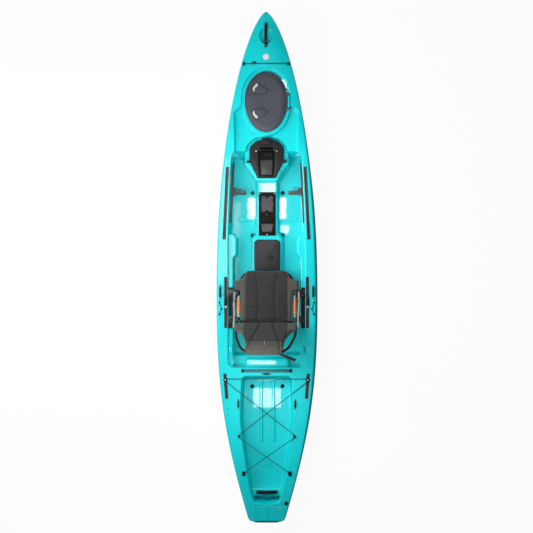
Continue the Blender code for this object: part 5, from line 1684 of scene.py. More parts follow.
@dataclass
class BowHatch:
    """Egg-shaped lid on a side hinge, with two turning levers over a gasket."""

    seat: float = 0.386
    centre: float = 1.400
    half: float = 0.179
    fore: float = 0.236
    aft: float = 0.270
    hinge: Point = (0.1885, 1.385, 0.3975)
    reach: float = 0.117
    levers: tuple[tuple[str, float], ...] = (("fore", 1.0), ("aft", -1.0))
    rise: float = 0.0271
    between: float = 1.3885
    apart: float = 0.0895

    def pivot(self, sign: float) -> float:
        """Place of a lever's pivot along the boat."""
        return self.between + sign * self.apart

    def line(self, extra: float) -> Outline:
        """Outline of the lid, moved outwards by a distance."""
        return egg(self.half + extra, self.fore + extra, self.aft + extra, self.centre)

    def lever_line(self, sign: float, grow: float) -> Outline:
        """Leaf outline of one lever about its own pivot.

        Args:
            sign: 1 for the fore lever, -1 for the aft one.
            grow: Distance that it is moved outwards.

        Returns:
            Points of the outline.
        """
        corners = []
        for k in range(6):
            a = math.radians(140.0 + 10.0 * k)
            r = self.reach - 0.020 * abs(k - 3.2) / 3.2 + grow
            corners.append((r * math.cos(a), sign * r * math.sin(a), 0.012))
        a, r = math.radians(210.0), 0.068 + grow
        corners.append((r * math.cos(a), sign * r * math.sin(a), 0.030))
        for k in range(6):
            a = math.radians(-110.0 + 34.0 * k)
            r = 0.013 + grow
            corners.append((r * math.cos(a), sign * r * math.sin(a), 0.008))
        return rounded(corners, 0.02)

    def lid(self) -> None:
        """Lid with its rolled rim, lever wells, panel lines and hinge ears."""
        low, top = self.seat + 0.0036, self.seat + self.rise
        steps = [(-0.036, low + 0.010), (-0.033, self.seat - 0.012), (-0.027, self.seat - 0.012),
                 (-0.027, low), (-0.0012, low), (0.0, low + 0.0012), (0.0, low + 0.0076),
                 (-0.0008, low + 0.0098), (-0.0026, low + 0.0120), (-0.0052, low + 0.0138),
                 (-0.0086, low + 0.0152), (-0.0125, low + 0.0162), (-0.0136, low + 0.0154),
                 (-0.0156, low + 0.0158), (-0.0166, low + 0.0176), (-0.026, low + 0.0204),
                 (-0.037, low + 0.0226), (-0.047, top), (-0.060, top + 0.0003)]
        piece = Piece("hatch_lid_shell").layers(self.line(0.0), steps)
        cuts = []
        for _, sign in self.levers:
            cuts.append(Piece("lever_well").plate(
                [p + Vector((0.0, self.pivot(sign))) for p in self.lever_line(sign, 0.0050)],
                top - 0.0075, top + 0.01))
            edge = [Vector((x, self.between + sign * y, top + 0.0002)) for x, y in
                    ((0.019, 0.0900), (0.045, 0.0915), (0.080, 0.0915), (0.115, 0.0905),
                     (0.1335, 0.0890))]
            cuts.append(Piece("panel_line").rod(0.0022, edge, 8))
        piece.less(*cuts)
        x, y, z = self.hinge
        for ear in (1.324, 1.446):
            piece.turned([(0.0, -0.009), (0.0068, -0.009), (0.0075, -0.0083), (0.0075, 0.0083),
                          (0.0068, 0.009), (0.0, 0.009)], (x, ear, z),
                         TO_Y, 24)
            piece.block((0.026, 0.018, 0.006), (x - 0.013, ear, z + 0.0043), 0.0015, 2)
        piece.done(HATCH, "hatch_lid", ("hatch_lid",))

    def lever(self, tag: str, sign: float) -> None:
        """One lever: dark leaf with a silver crescent to pull on.

        Args:
            tag: Which lever it is.
            sign: 1 for the fore lever, -1 for the aft one.
        """
        top = self.seat + self.rise
        pivot = (0.0, self.pivot(sign), 0.0)
        body = "hatch_lever_" + tag
        Piece(body + "_leaf").plate(self.lever_line(sign, 0.0), top + 0.0011, top + 0.0070,
                                    0.0022, 3, pivot).done(HATCH, body, (body,))
        outer, inner = [], []
        for k in range(13):
            a = math.radians(142.0 + 46.0 * k / 12.0)
            r = self.reach - 0.004 - 0.018 * abs(k / 12.0 * 4.9 - 3.2) / 3.2
            slim = 0.0035 + 0.0185 * math.sin(math.pi * (k / 12.0) ** 0.62) ** 0.7
            outer.append(Vector((r * math.cos(a), sign * r * math.sin(a))))
            inner.append(Vector(((r - slim) * math.cos(a), sign * (r - slim) * math.sin(a))))
        ring = outer + inner[::-1]
        area = sum(a.cross(b) for a, b in zip(ring, ring[1:] + ring[:1]))
        Piece(body + "_crescent").plate(ring if area > 0.0 else ring[::-1], top + 0.0066,
                                        top + 0.0108, 0.0012, 2, pivot).done(LEVER, body)
        Piece(body + "_rivet").screw((pivot[0], pivot[1], top + 0.0068), 0.0050,
                                     0.0016).done(HATCH, body)

    def bracket(self) -> None:
        """Hinge leaf on the boss with three knuckles, and the pin through them."""
        x, y, z = self.hinge
        base = self.seat + GAP
        piece = Piece("hinge_leaf").block((0.0170, 0.094, z - base), (x + 0.0035, y,
                                                                      (z + base) / 2.0), 0.0015)
        for step in (-0.0325, 0.0, 0.0325):
            piece.turned([(0.0032, -0.0145), (0.0068, -0.0145), (0.0075, -0.0138),
                          (0.0075, 0.0138), (0.0068, 0.0145), (0.0032, 0.0145)],
                         (x, y + step, z), TO_Y, 24)
        piece.done(TEAL, "kayak", ("hatch_hinge",))
        repaint(STEEL, "hatch_pin")
        repaint(RUBBER, "hatch_gasket")

    def build(self) -> None:
        """Makes the whole hatch."""
        self.lid()
        for tag, sign in self.levers:
            self.lever(tag, sign)
        self.bracket()


@dataclass
class Console:
    """Pod on the pedestal: body, roller, lid that turns on it and two wing latches."""

    base: float = 0.300
    top: float = 0.344
    floor: float = 0.312
    roller: tuple[float, float, float] = (0.985, 0.3295, 0.009)
    latch: tuple[float, float] = (0.156, 0.885)

    def body(self) -> None:
        """Body with a hollowed middle, sloping cheeks and a tab at the front."""
        outline = mirrored([(0.0, 1.062, 0), (0.085, 1.062, 0.05), (0.142, 1.005, 0.05),
                            (0.142, 0.890, 0.04), (0.075, 0.748, 0.02)], 0.03)
        piece = Piece("console_shell").layers(outline, [
            (0.0, self.base + GAP), (0.0, self.top - 0.0085), (-0.0008, self.top - 0.0055),
            (-0.0027, self.top - 0.0027), (-0.0055, self.top - 0.0008), (-0.0085, self.top)])
        arch = rounded([(0.070, 1.007, 0.035), (-0.070, 1.007, 0.035), (-0.070, 0.905, 0.02),
                        (-0.060, 0.764, 0.012), (0.060, 0.764, 0.012), (0.070, 0.905, 0.02)],
                       0.03)
        hollow = Piece("hollow").layers(arch, [(-0.004, self.floor), (-0.001, self.floor + 0.002),
                                               (0.0, self.floor + 0.006), (0.0, self.top - 0.006),
                                               (0.0018, self.top - 0.0018),
                                               (0.006, self.top + 0.01)])
        y, z, r = self.roller
        way = Piece("roller_way").turned([(0.0, -0.0783), (r + GAP, -0.0783),
                                          (r + GAP, 0.0783), (0.0, 0.0783)], (0.0, y, z), TO_X)
        piece.less(hollow, way)
        for _, sign in SIDES:
            piece.plate(rounded([(sign * x, y, 0.006) for x, y in (
                (0.118, 0.940), (0.085, 0.940), (0.074, 0.800), (0.083, 0.800))]),
                self.top - 0.004, self.top + 0.0022, 0.002)
        piece.block((0.090, 0.018, 0.013), (0.0, 1.0595, 0.3505), 0.004)
        piece.done(CONSOLE, "kayak", ("console_body",))
        # Thin deep-black sheet on the hollow's floor: painted shade of the hollow.
        Piece("console_hollow_painted_shade").plate(offset(arch, -0.004), self.floor, self.floor + 0.0008,
                                     0.0002, 1).done(DARK, "kayak")
        nose = Piece("console_nose").block((0.078, 0.050, 0.010), (0.0, 1.0580, 0.3600), 0.004)
        nose.block((0.040, 0.030, 0.004), (0.0, 1.0580, 0.3655), 0.0015)
        nose.done(DECK, "kayak")
        seats = [(sign * 0.086, 0.975, self.top - 0.0004) for _, sign in SIDES]
        screws("console_screws", "kayak", seats, 0.0070, 0.0024)
        cups = Piece("console_screw_cups")
        for x, y, z in seats:
            cups.turned([(0.0082, z - 0.001), (0.0112, z - 0.001), (0.0112, z + 0.0006),
                         (0.0098, z + 0.0018), (0.0082, z + 0.0006), (0.0082, z - 0.001)],
                        (x, y, 0.0), None, 32)
        cups.done(RUBBER, "kayak")

    def lid(self) -> None:
        """Roller, and the lid whose barrel turns on it."""
        y, z, r = self.roller
        Piece("console_roller").turned(
            [(0.0, -0.078), (0.0060, -0.078), (r, -0.075), (r, -0.066), (r - 0.0015, -0.064),
             (r - 0.0015, 0.064), (r, 0.066), (r, 0.075), (0.0060, 0.078), (0.0, 0.078)],
            (0.0, y, z), TO_X).done(CONSOLE_LID, "kayak", ("console_pin",))
        piece = Piece("console_flap").block((0.116, 0.206, 0.013),
                                            (0.0, 0.8790, 0.3200), 0.003)
        piece.turned([(r + GAP, -0.052), (r + 0.0032, -0.052), (r + 0.0040, -0.050),
                      (r + 0.0040, 0.050), (r + 0.0032, 0.052), (r + GAP, 0.052)],
                     (0.0, y, z), TO_X, 40)
        cheeks = [Piece("flap_cheeks").block((0.020, 0.110, 0.020), (x, 0.8300, 0.3300), 0.004)
                  for x in (0.0560, -0.0560)]
        piece.less(Piece("flap_pocket").block((0.088, 0.044, 0.020), (0.0, 0.9330, 0.3275), 0.004),
                   *cheeks)
        piece.done(DARK, "console_lid", ("console_lid",))
        panel = Piece("console_panel").layers(
            oblong(0.050, 0.898, 0.776, 0.006, 0.046),
            [(0.0, 0.3260), (0.0, 0.3278), (-0.0010, 0.3283)])
        panel.block((0.030, 0.012, 0.0020), (0.0, 0.7835, 0.3286), 0.0008)
        panel.done(CONSOLE_LID, "console_lid")

    def latches(self) -> None:
        """Wing latches that turn over the edge of the lid."""
        x, y = self.latch
        for tag, sign in SIDES:
            body = "console_latch_" + tag
            piece = Piece(body + "_wing").turned(
                [(0.0, 0.3006), (0.0085, 0.3006), (0.0085, 0.3446), (0.0, 0.3446)],
                (sign * x, y, 0.0), None, 24)
            piece.plate(rounded([(sign * (x + a), y + b, 0.0035) for a, b in (
                (0.0090, 0.0085), (-0.006, 0.0120), (-0.0355, 0.0055), (-0.0355, -0.0055),
                (-0.006, -0.0120), (0.0090, -0.0085))]), 0.3443, 0.3500, 0.0018)
            piece.done(DECK, body, (body,))
            Piece(body + "_rivet").screw((sign * x, y, 0.3498), 0.0036).done(DECK, body)

    def build(self) -> None:
        """Makes the whole console."""
        self.body()
        self.lid()
        self.latches()


@dataclass
class CentreTray:
    """Tray on the ridge with its rubber pad, crossbar, clamp knob and hinged latch."""

    size: Point = (0.142, 0.366, 0.016)
    middle: float = 0.453
    base: float = 0.1903
    floor: float = 0.1963

    def build(self) -> None:
        """Makes the tray and what it carries."""
        tall = self.size[2]
        top = self.base + tall
        piece = Piece("tray_shell").block(self.size, (0.0, self.middle, self.base + tall / 2.0),
                                          0.0025)
        piece.less(Piece("tray_well").layers(
            oblong(0.063, 0.612, 0.294, 0.008),
            [(-0.001, self.floor), (0.0, self.floor + 0.002), (0.0, top - 0.001),
             (0.002, top + 0.004)]))
        for x in (-0.0585, 0.0585):
            piece.block((0.003, 0.290, 0.005), (x, 0.455, self.floor + 0.0023), 0.0008, 1)
        piece.block((0.128, 0.0200, 0.0060), (0.0, 0.6245, top - 0.0015), 0.0020)
        piece.block((0.128, 0.0150, 0.0040), (0.0, 0.2800, top - 0.0008), 0.0015)
        piece.layers(rounded([(0.054, 0.4285, 0.012), (0.016, 0.4285, 0.006),
                              (0.0, 0.4200, 0.012), (-0.016, 0.4285, 0.006),
                              (-0.054, 0.4285, 0.012), (-0.048, 0.3800, 0.006),
                              (0.048, 0.3800, 0.006)]),
                     [(0.0, self.floor - 0.001), (0.0, self.floor + 0.017),
                      (-0.0012, self.floor + 0.0198), (-0.004, self.floor + 0.021)])
        piece.done(DARK, "kayak", ("centre_tray",))
        screws("tray_screws", "kayak", [(-0.0625, 0.6245, top + 0.0013),
                                        (0.0625, 0.6245, top + 0.0013),
                                        (0.0, 0.2795, top + 0.0010)], 0.0056, 0.0020)
        pad = Piece("tray_pad").layers(
            rounded([(0.050, 0.602, 0.008), (0.019, 0.602, 0.008), (0.013, 0.586, 0.010),
                     (-0.013, 0.586, 0.010), (-0.019, 0.602, 0.008), (-0.050, 0.602, 0.008),
                     (-0.046, 0.560, 0.02), (-0.054, 0.525, 0.02), (-0.046, 0.500, 0.02),
                     (-0.050, 0.470, 0.008), (-0.020, 0.470, 0.008), (-0.012, 0.482, 0.008),
                     (0.012, 0.482, 0.008), (0.020, 0.470, 0.008), (0.050, 0.470, 0.008),
                     (0.046, 0.500, 0.02), (0.054, 0.525, 0.02), (0.046, 0.560, 0.02)], 0.02),
            [(0.0, self.floor + GAP), (0.0, self.floor + 0.0052),
             (-0.0006, self.floor + 0.0062), (-0.0020, self.floor + 0.0067)])
        for k in range(9):
            pad.block((0.070, 0.0022, 0.0012), (0.0, 0.494 + 0.0105 * k, self.floor + 0.0068),
                      0.0004, 1)
        pad.done(PAD, "kayak", ("centre_pad",))
        knob("centre_knob", (0.0, 0.449, self.floor + GAP), 0.0143, 0.019, "centre_knob",
             0.007, 6)
        hinge = self.floor + 0.0060
        latch = Piece("latch_flap").layers(
            rounded([(0.050, 0.364, 0.004), (-0.050, 0.364, 0.004), (-0.041, 0.300, 0.009),
                     (0.041, 0.300, 0.009)]),
            [(0.0, hinge), (0.0, hinge + 0.0060), (-0.0007, hinge + 0.0075),
             (-0.0024, hinge + 0.0081), (-0.0050, hinge + 0.0081), (-0.0062, hinge + 0.0072)])
        latch.turned([(0.0, -0.052), (0.0048, -0.052), (0.0055, -0.051), (0.0055, 0.051),
                      (0.0048, 0.052), (0.0, 0.052)], (0.0, 0.366, hinge), TO_X, 24)
        latch.block((0.060, 0.010, 0.0026), (0.0, 0.309, hinge + 0.0075), 0.001)
        latch.done(TRACK, "centre_latch", ("centre_latch",))


@dataclass
class MidHatch:
    """Box-shaped lid on the ridge in front of the seat, with a turning plug."""

    base: float = 0.1903
    top: float = 0.222
    half: float = 0.1085
    ends: tuple[float, float] = (0.236, -0.023)
    plug: tuple[float, float, float] = (0.0326, 0.0869, 0.021)

    def build(self) -> None:
        """Makes the lid and the plug in it."""
        fore, aft = self.ends
        outline = rounded([(self.half, fore, 0.035), (-self.half, fore, 0.035),
                           (-self.half, aft, 0.012), (self.half, aft, 0.012)], 0.03)
        piece = Piece("mid_lid_shell").layers(outline, [
            (-0.001, self.base), (0.0, self.base + 0.002), (0.0, self.top - 0.010),
            (-0.0013, self.top - 0.0056), (-0.0044, self.top - 0.0018), (-0.010, self.top)])
        x, y, r = self.plug
        cuts = [Piece("plug_way").turned([(0.0, self.top - 0.015), (r + GAP, self.top - 0.015),
                                          (r + GAP, self.top - 0.0012),
                                          (r + 0.0016, self.top + 0.001), (0.0, self.top + 0.001)],
                                         (x, y, 0.0), None, 48)]
        groove = [Vector((-0.081, end, self.top)) for end in (fore - 0.012, aft + 0.010)]
        cuts.append(Piece("lid_groove").rod(0.0016, groove, 8))
        hollow = oblong(0.069, 0.184, 0.027, 0.006)
        piece.less(*cuts)
        spigot = offset(hollow, 0.0055)
        piece.skin([[Vector((p.x, p.y, z)) for p in ring] for ring, z in (
            (spigot, self.base + 0.0004), (spigot, 0.1765), (hollow, 0.1765),
            (hollow, self.base + 0.0004))], True)
        for k in range(11):
            piece.block((0.150, 0.0016, 0.0010), (0.013, 0.205 - 0.0185 * k, self.top + 0.0001),
                        0.0003, 1)
        piece.done(LID, "mid_lid", ("mid_hatch_lid",))
        cap = Piece("plug_cap").turned(
            [(0.0, self.top - 0.006), (r, self.top - 0.006), (r, self.top + 0.0028),
             (r - 0.0012, self.top + 0.0040), (r - 0.0050, self.top + 0.0040),
             (r - 0.0062, self.top + 0.0024), (0.0, self.top + 0.0024)], (x, y, 0.0), None, 48)
        cap.block((0.030, 0.007, 0.0082), (x, y, self.top + 0.0058), 0.002)
        cap.done(RUBBER, "mid_plug", ("mid_hatch_plug",))


@dataclass
class FootBraces:
    """Rails on the footwell walls, pedals that slide on them and their wire triggers."""

    ends: tuple[tuple[float, float], tuple[float, float]] = ((0.2830, 0.885), (0.3085, 0.375))
    height: float = 0.190
    wide: float = 0.018
    tall: float = 0.040
    slot: tuple[float, float] = (0.012, 0.009)
    pedal_y: float = 0.640
    wire: float = 0.0026

    def line(self, sign: float) -> tuple[Vector, Vector]:
        """Aft and fore end of the middle line of one rail."""
        (x0, y0), (x1, y1) = self.ends
        return Vector((sign * x1, y1, self.height)), Vector((sign * x0, y0, self.height))

    def rail(self, tag: str, sign: float) -> None:
        """One slotted rail with its row of stops.

        Args:
            tag: Side name.
            sign: -1 for port, 1 for starboard.
        """
        first, last = self.line(sign)
        face, half = -sign * self.wide / 2.0, self.tall / 2.0
        inner, open_half = face + sign * self.slot[1], self.slot[0] / 2.0
        section = rounded([(-face, -half, 0.002), (-face, half, 0.002), (face, half, 0.002),
                           (face, open_half, 0.0006), (inner, open_half, 0),
                           (inner, -open_half, 0), (face, -open_half, 0.0006),
                           (face, -half, 0.002)], 1.0, 0.6)
        piece = Piece("foot_rail_bar_" + tag).run(section, [first, last])
        run = last - first
        turn = lengthwise(run)
        for k in range(24):
            place = first + run * (k + 0.8) / 24.6
            piece.block((0.0016, 0.006, 0.0075), place + turn @ Vector((face, 0.0, 0.0125)),
                        0.0004, 1, turn)
        for share in (0.012, 0.988):
            piece.block((self.wide + 0.002, 0.010, self.tall + 0.001), first + run * share,
                        0.002, 2, turn)
        piece.done(TRACK, "kayak", ("foot_rail_" + tag,))
        screws("foot_rail_screws_" + tag, "kayak",
               [first + run * share + Vector((0.0, 0.0, half + 0.0002))
                for share in (0.012, 0.988)], 0.0036, 0.0018, TRACK)

    def pedal(self, tag: str, sign: float) -> None:
        """One pedal square on its own rail, then laid along it.

        Args:
            tag: Side name.
            sign: -1 for port, 1 for starboard.
        """
        (x0, y0), (x1, y1) = self.ends
        share = (y0 - self.pedal_y) / (y0 - y1)
        home = Vector((sign * (x0 + (x1 - x0) * share), self.pedal_y, self.height))
        run = Vector((sign * (x0 - x1), y0 - y1, 0.0))
        lay = Matrix.Rotation(math.atan2(-run.x, run.y), 3, "Z")
        near = -sign * (self.wide / 2.0 + GAP)

        def laid(x: float, y: float, z: float) -> Vector:
            """Point given about the pedal's home, laid along the rail."""
            return home + lay @ Vector((x, y, z))

        body = "pedal_" + tag
        piece = Piece(body + "_plate")
        piece.block((0.024, 0.070, 0.050), laid(near - sign * 0.012, 0.0, 0.0), 0.004, 3, lay)
        piece.block((0.009, 0.050, 0.0112), laid(near + sign * 0.0035, 0.0, 0.0), 0.001, 1, lay)
        tilt = lay @ Matrix.Rotation(math.radians(-8.0), 3, "X")
        centre = (near - sign * 0.064, -0.006, 0.012)
        piece.block((0.088, 0.020, 0.115), laid(*centre), 0.0075, 4, tilt)
        for k in range(6):
            z = -0.044 + 0.0176 * k
            step = tilt @ Vector((0.0, -0.0098, z))
            piece.block((0.072, 0.0030, 0.0060), laid(*centre) + step, 0.0012, 2, tilt)
        piece.block((0.060, 0.0022, 0.094), laid(*centre) + tilt @ Vector((0.0, 0.0096, 0.0)),
                    0.001, 2, tilt)
        piece.done(PEDAL, body, (body,))
        reach = near - sign * 0.0235
        line = fillet_path([(near - sign * 0.0085, 0.024, 0.012, 0),
                            (reach - sign * 0.011, 0.024, 0.012, 0.004),
                            (reach - sign * 0.016, 0.037, 0.036, 0.008),
                            (reach - sign * 0.024, 0.038, 0.042, 0.006),
                            (reach - sign * 0.062, 0.038, 0.043, 0)], 6)
        name = "trigger_" + tag
        Piece(name + "_wire").rod(self.wire, [laid(*p) for p in line], 12).done(STEEL, name,
                                                                             (name,))

    def build(self) -> None:
        """Makes both sides."""
        for tag, sign in SIDES:
            self.rail(tag, sign)
            self.pedal(tag, sign)


@dataclass
class Tracks:
    """T-slot gear tracks let into the gunwales."""

    wide: float = 0.028
    tall: float = 0.013
    runs: tuple[tuple[str, tuple[float, float], tuple[float, float]], ...] = (
        ("front", (0.3245, 0.8445), (0.3554, 0.2370)),
        ("mid", (0.3420, -0.0770), (0.3420, -0.5045)),
        ("rear", (0.3500, -0.8860), (0.3337, -1.0976)))

    def build(self) -> None:
        """Makes the six tracks, their screws and the clamps on the middle pair."""
        for place, (x0, y0), (x1, y1) in self.runs:
            for tag, sign in SIDES:
                first = on_deck(sign * x0, y0, self.tall)
                last = on_deck(sign * x1, y1, self.tall)
                name = "gear_track_%s_%s" % (place, tag)
                piece = Piece(name + "_bar").run(
                    slot_section(self.wide, self.tall, 0.0045, 0.009, 0.003), [last, first])
                run = first - last
                turn = lengthwise(run)
                lift = turn @ Vector((0.0, 0.0, self.tall / 2.0))
                for end, way in ((last, 1.0), (first, -1.0)):
                    piece.block((self.wide - 0.001, 0.008, self.tall - 0.0008),
                                end + run.normalized() * way * 0.0042 + lift, 0.0012, 2, turn)
                piece.done(TRACK, "kayak", (name,))
                count = 4 if run.length > 0.3 else 3
                screws(name + "_screws", "kayak",
                       [last + run * (k + 0.5) / count + turn @ Vector((0.0, 0.0, 0.0029))
                        for k in range(count)], 0.0036, 0.0016, TRACK)
        for tag, sign in SIDES:
            x, top = sign * 0.342, HullLines.deck(0.342, -0.28)
            body = Piece("track_clamp_" + tag)
            body.block((0.030, 0.064, 0.009), (x, -0.2800, top + 0.0047), 0.003)
            body.block((0.008, 0.050, 0.012), (x, -0.2800, top - 0.0010), 0.001, 1)
            body.block((0.018, 0.040, 0.003), (x, -0.2800, top + 0.0100), 0.0012, 2)
            body.done(DECK, "kayak")
            Piece("track_wedge_" + tag).plate(
                rounded([(x + sign * 0.012, -0.3215, 0.002), (x - sign * 0.010, -0.3180, 0.002),
                         (x - sign * 0.002, -0.3420, 0.002)]),
                top + 0.0002, top + 0.0075, 0.002).done(LEVER, "kayak")


def stations(points: list[tuple[float, float]], value: float) -> float:
    """Straight-line reading of a short list of position and size pairs.

    Args:
        points: Position and size pairs, by rising position.
        value: Position to read.

    Returns:
        Size there.
    """
    for (a, low), (b, high) in zip(points, points[1:]):
        if value <= b:
            return low + (high - low) * max(0.0, (value - a) / (b - a))
    return points[-1][1]


@dataclass
class Cushion:
    """Sewn pad: a grid drawn into its outline, with channels, panels and piping.

    Its own axes are x across, v along and h out of the face.
    """

    name: str
    body: str
    cloth: Finish
    widths: list[tuple[float, float]]
    seams: list[tuple[float, float]]
    level: float
    thick: float
    crown: float
    arc: tuple[float, float]
    border: float
    band: float
    place: Matrix
    columns: int = 170
    pitch: float = 0.0032

    def half(self, v: float) -> float:
        """Half width at a place along the pad."""
        return stations(self.widths, v)

    def height(self, x: float, v: float) -> float:
        """Height of the face above the pad's own plane.

        Args:
            x: Place across.
            v: Place along the pad.

        Returns:
            Height.
        """
        foot, top, half = self.widths[0][0], self.widths[-1][0], self.half(v)
        near = min(half - abs(x), v - foot, top - v)
        rise = math.sqrt(1.0 - (1.0 - min(1.0, max(0.0, near) / 0.020)) ** 2)
        ends = min(1.0, (v - foot) / 0.03, (top - v) / 0.03)
        full = self.level + 0.006 + (self.thick - 0.006) * rise
        full += self.crown * (1.0 - (x / half) ** 2) * max(0.0, ends)
        seam = stations(self.seams, v)
        aside = min(abs(x - seam), abs(x + seam))
        full += 0.0035 * rise * (1.0 - math.exp(-(aside / 0.022) ** 2))
        full -= 0.0062 * rise * math.exp(-(aside / 0.0042) ** 2)
        edge = abs(x) - self.border
        full -= 0.0030 * rise * math.exp(-(edge / 0.0032) ** 2)
        if edge < 0.0:
            across = v - self.arc[0] + self.arc[1] * (x / self.border) ** 2
            full -= 0.0070 * rise * math.exp(-(across / 0.0044) ** 2)
        if self.band < v:
            full += 0.0012 * rise * math.cos(2.0 * math.pi * x / 0.0125)
        full -= 0.0032 * rise * math.exp(-((v - self.band) / 0.0030) ** 2)
        spot = Vector((x * 15.0, v * 15.0, self.level * 40.0))
        full += rise * (0.0012 * noise.noise(spot) + 0.0010 * noise.noise(spot * 2.7))
        pucker = 0.0010 * math.exp(-(aside / 0.015) ** 2)
        return full + rise * pucker * math.sin(2.0 * math.pi * v / 0.019 + 9.0 * noise.noise(spot))

    def at(self, x: float, v: float, lift: float = 0.0) -> Vector:
        """Point on the face, or a little above it."""
        return self.place @ Vector((x, v, self.height(x, v) + lift))

    def panel(self, x: float, v: float) -> float:
        """Share of the border cloth at a point.

        Args:
            x: Place across.
            v: Place along the pad.

        Returns:
            Share between 0 and 1.
        """
        if abs(x) > self.border or v > self.band:
            return 1.0
        return 0.0

    def pad(self) -> None:
        """Draws a grid into the outline, closes it below and dresses it."""
        foot, top = self.widths[0][0], self.widths[-1][0]
        count = round((top - foot) / self.pitch)
        rows = sorted({foot + (top - foot) * k / count for k in range(count + 1)}
                      | {v for v, _ in self.widths})
        bm = bmesh.new()
        bmesh.ops.create_grid(bm, x_segments=self.columns, y_segments=len(rows) - 1, size=1.0)
        layer = bm.verts.layers.float.new("panel")
        for vert in bm.verts:
            v = rows[round((vert.co.y + 1.0) / 2.0 * (len(rows) - 1))]
            x = vert.co.x * self.half(v)
            vert[layer] = self.panel(x, v)
            vert.co = (x, v, self.height(x, v))
        rim = [e for e in bm.edges if e.is_boundary]
        made = bmesh.ops.extrude_edge_only(bm, edges=rim)["geom"]
        low = [g for g in made if isinstance(g, bmesh.types.BMVert)]
        for vert in low:
            vert.co.z = self.level
        bmesh.ops.holes_fill(bm, edges=[e for e in bm.edges if e.is_boundary], sides=0)
        bmesh.ops.transform(bm, matrix=self.place, verts=bm.verts)
        piece = Piece(self.name + "_pad")
        piece.bm.free()
        piece.bm = bm
        piece.done(self.cloth, self.body, (self.name,), 50.0)

    def piping(self, edges: list[tuple[float, float]]) -> None:
        """Lays light piping beside the seams and along stretches of the outline.

        Args:
            edges: Start and end of each stretch of outline that is piped.
        """
        foot, top = self.widths[0][0], min(self.widths[-1][0], self.band)
        piece, thread = Piece(self.name + "_piping"), Piece(self.name + "_thread")
        if self.arc[0] > foot:
            line = []
            for k in range(-40, 41):
                x = (self.border - 0.003) * k / 40.0
                line.append(self.at(x, self.arc[0] - self.arc[1] * (x / self.border) ** 2, 0.0006))
            thread.rod(0.0020, line, 8)
        for _, sign in SIDES:
            line = []
            for k in range(61):
                v = foot + 0.012 + (top - foot - 0.022) * k / 60.0
                line.append(self.at(sign * stations(self.seams, v), v, 0.0002))
            thread.rod(0.0026, line, 8)
            piece.rod(0.0012, [p + Vector((-sign * 0.0058, 0.0, 0.0014)) for p in line], 8)
            for start, stop in edges:
                line = []
                for k in range(41):
                    v = start + (stop - start) * k / 40.0
                    line.append(self.at(sign * (self.half(v) - 0.0020), v, 0.0012))
                piece.rod(0.0026, line, 8)
        piece.done(PIPING, self.body)
        thread.done(STRAP, self.body)


def slot_section(wide: float, tall: float, lip: float, slot: float, web: float) -> Outline:
    """Section of a slotted rail, open at the top and standing on its origin.

    Args:
        wide: Width over all.
        tall: Height.
        lip: Half width of the mouth.
        slot: Half width of the channel under it.
        web: Thickness of lips and floor.

    Returns:
        Corners of the section.
    """
    half = wide / 2.0
    return rounded([(-half, 0, 0), (half, 0, 0), (half, tall, 0.0014), (lip, tall, 0.0007),
                    (lip, tall - web, 0), (slot, tall - web, 0), (slot, web, 0), (-slot, web, 0),
                    (-slot, tall - web, 0), (-lip, tall - web, 0), (-lip, tall, 0.0007),
                    (-half, tall, 0.0014)], 1.0, 0.6)


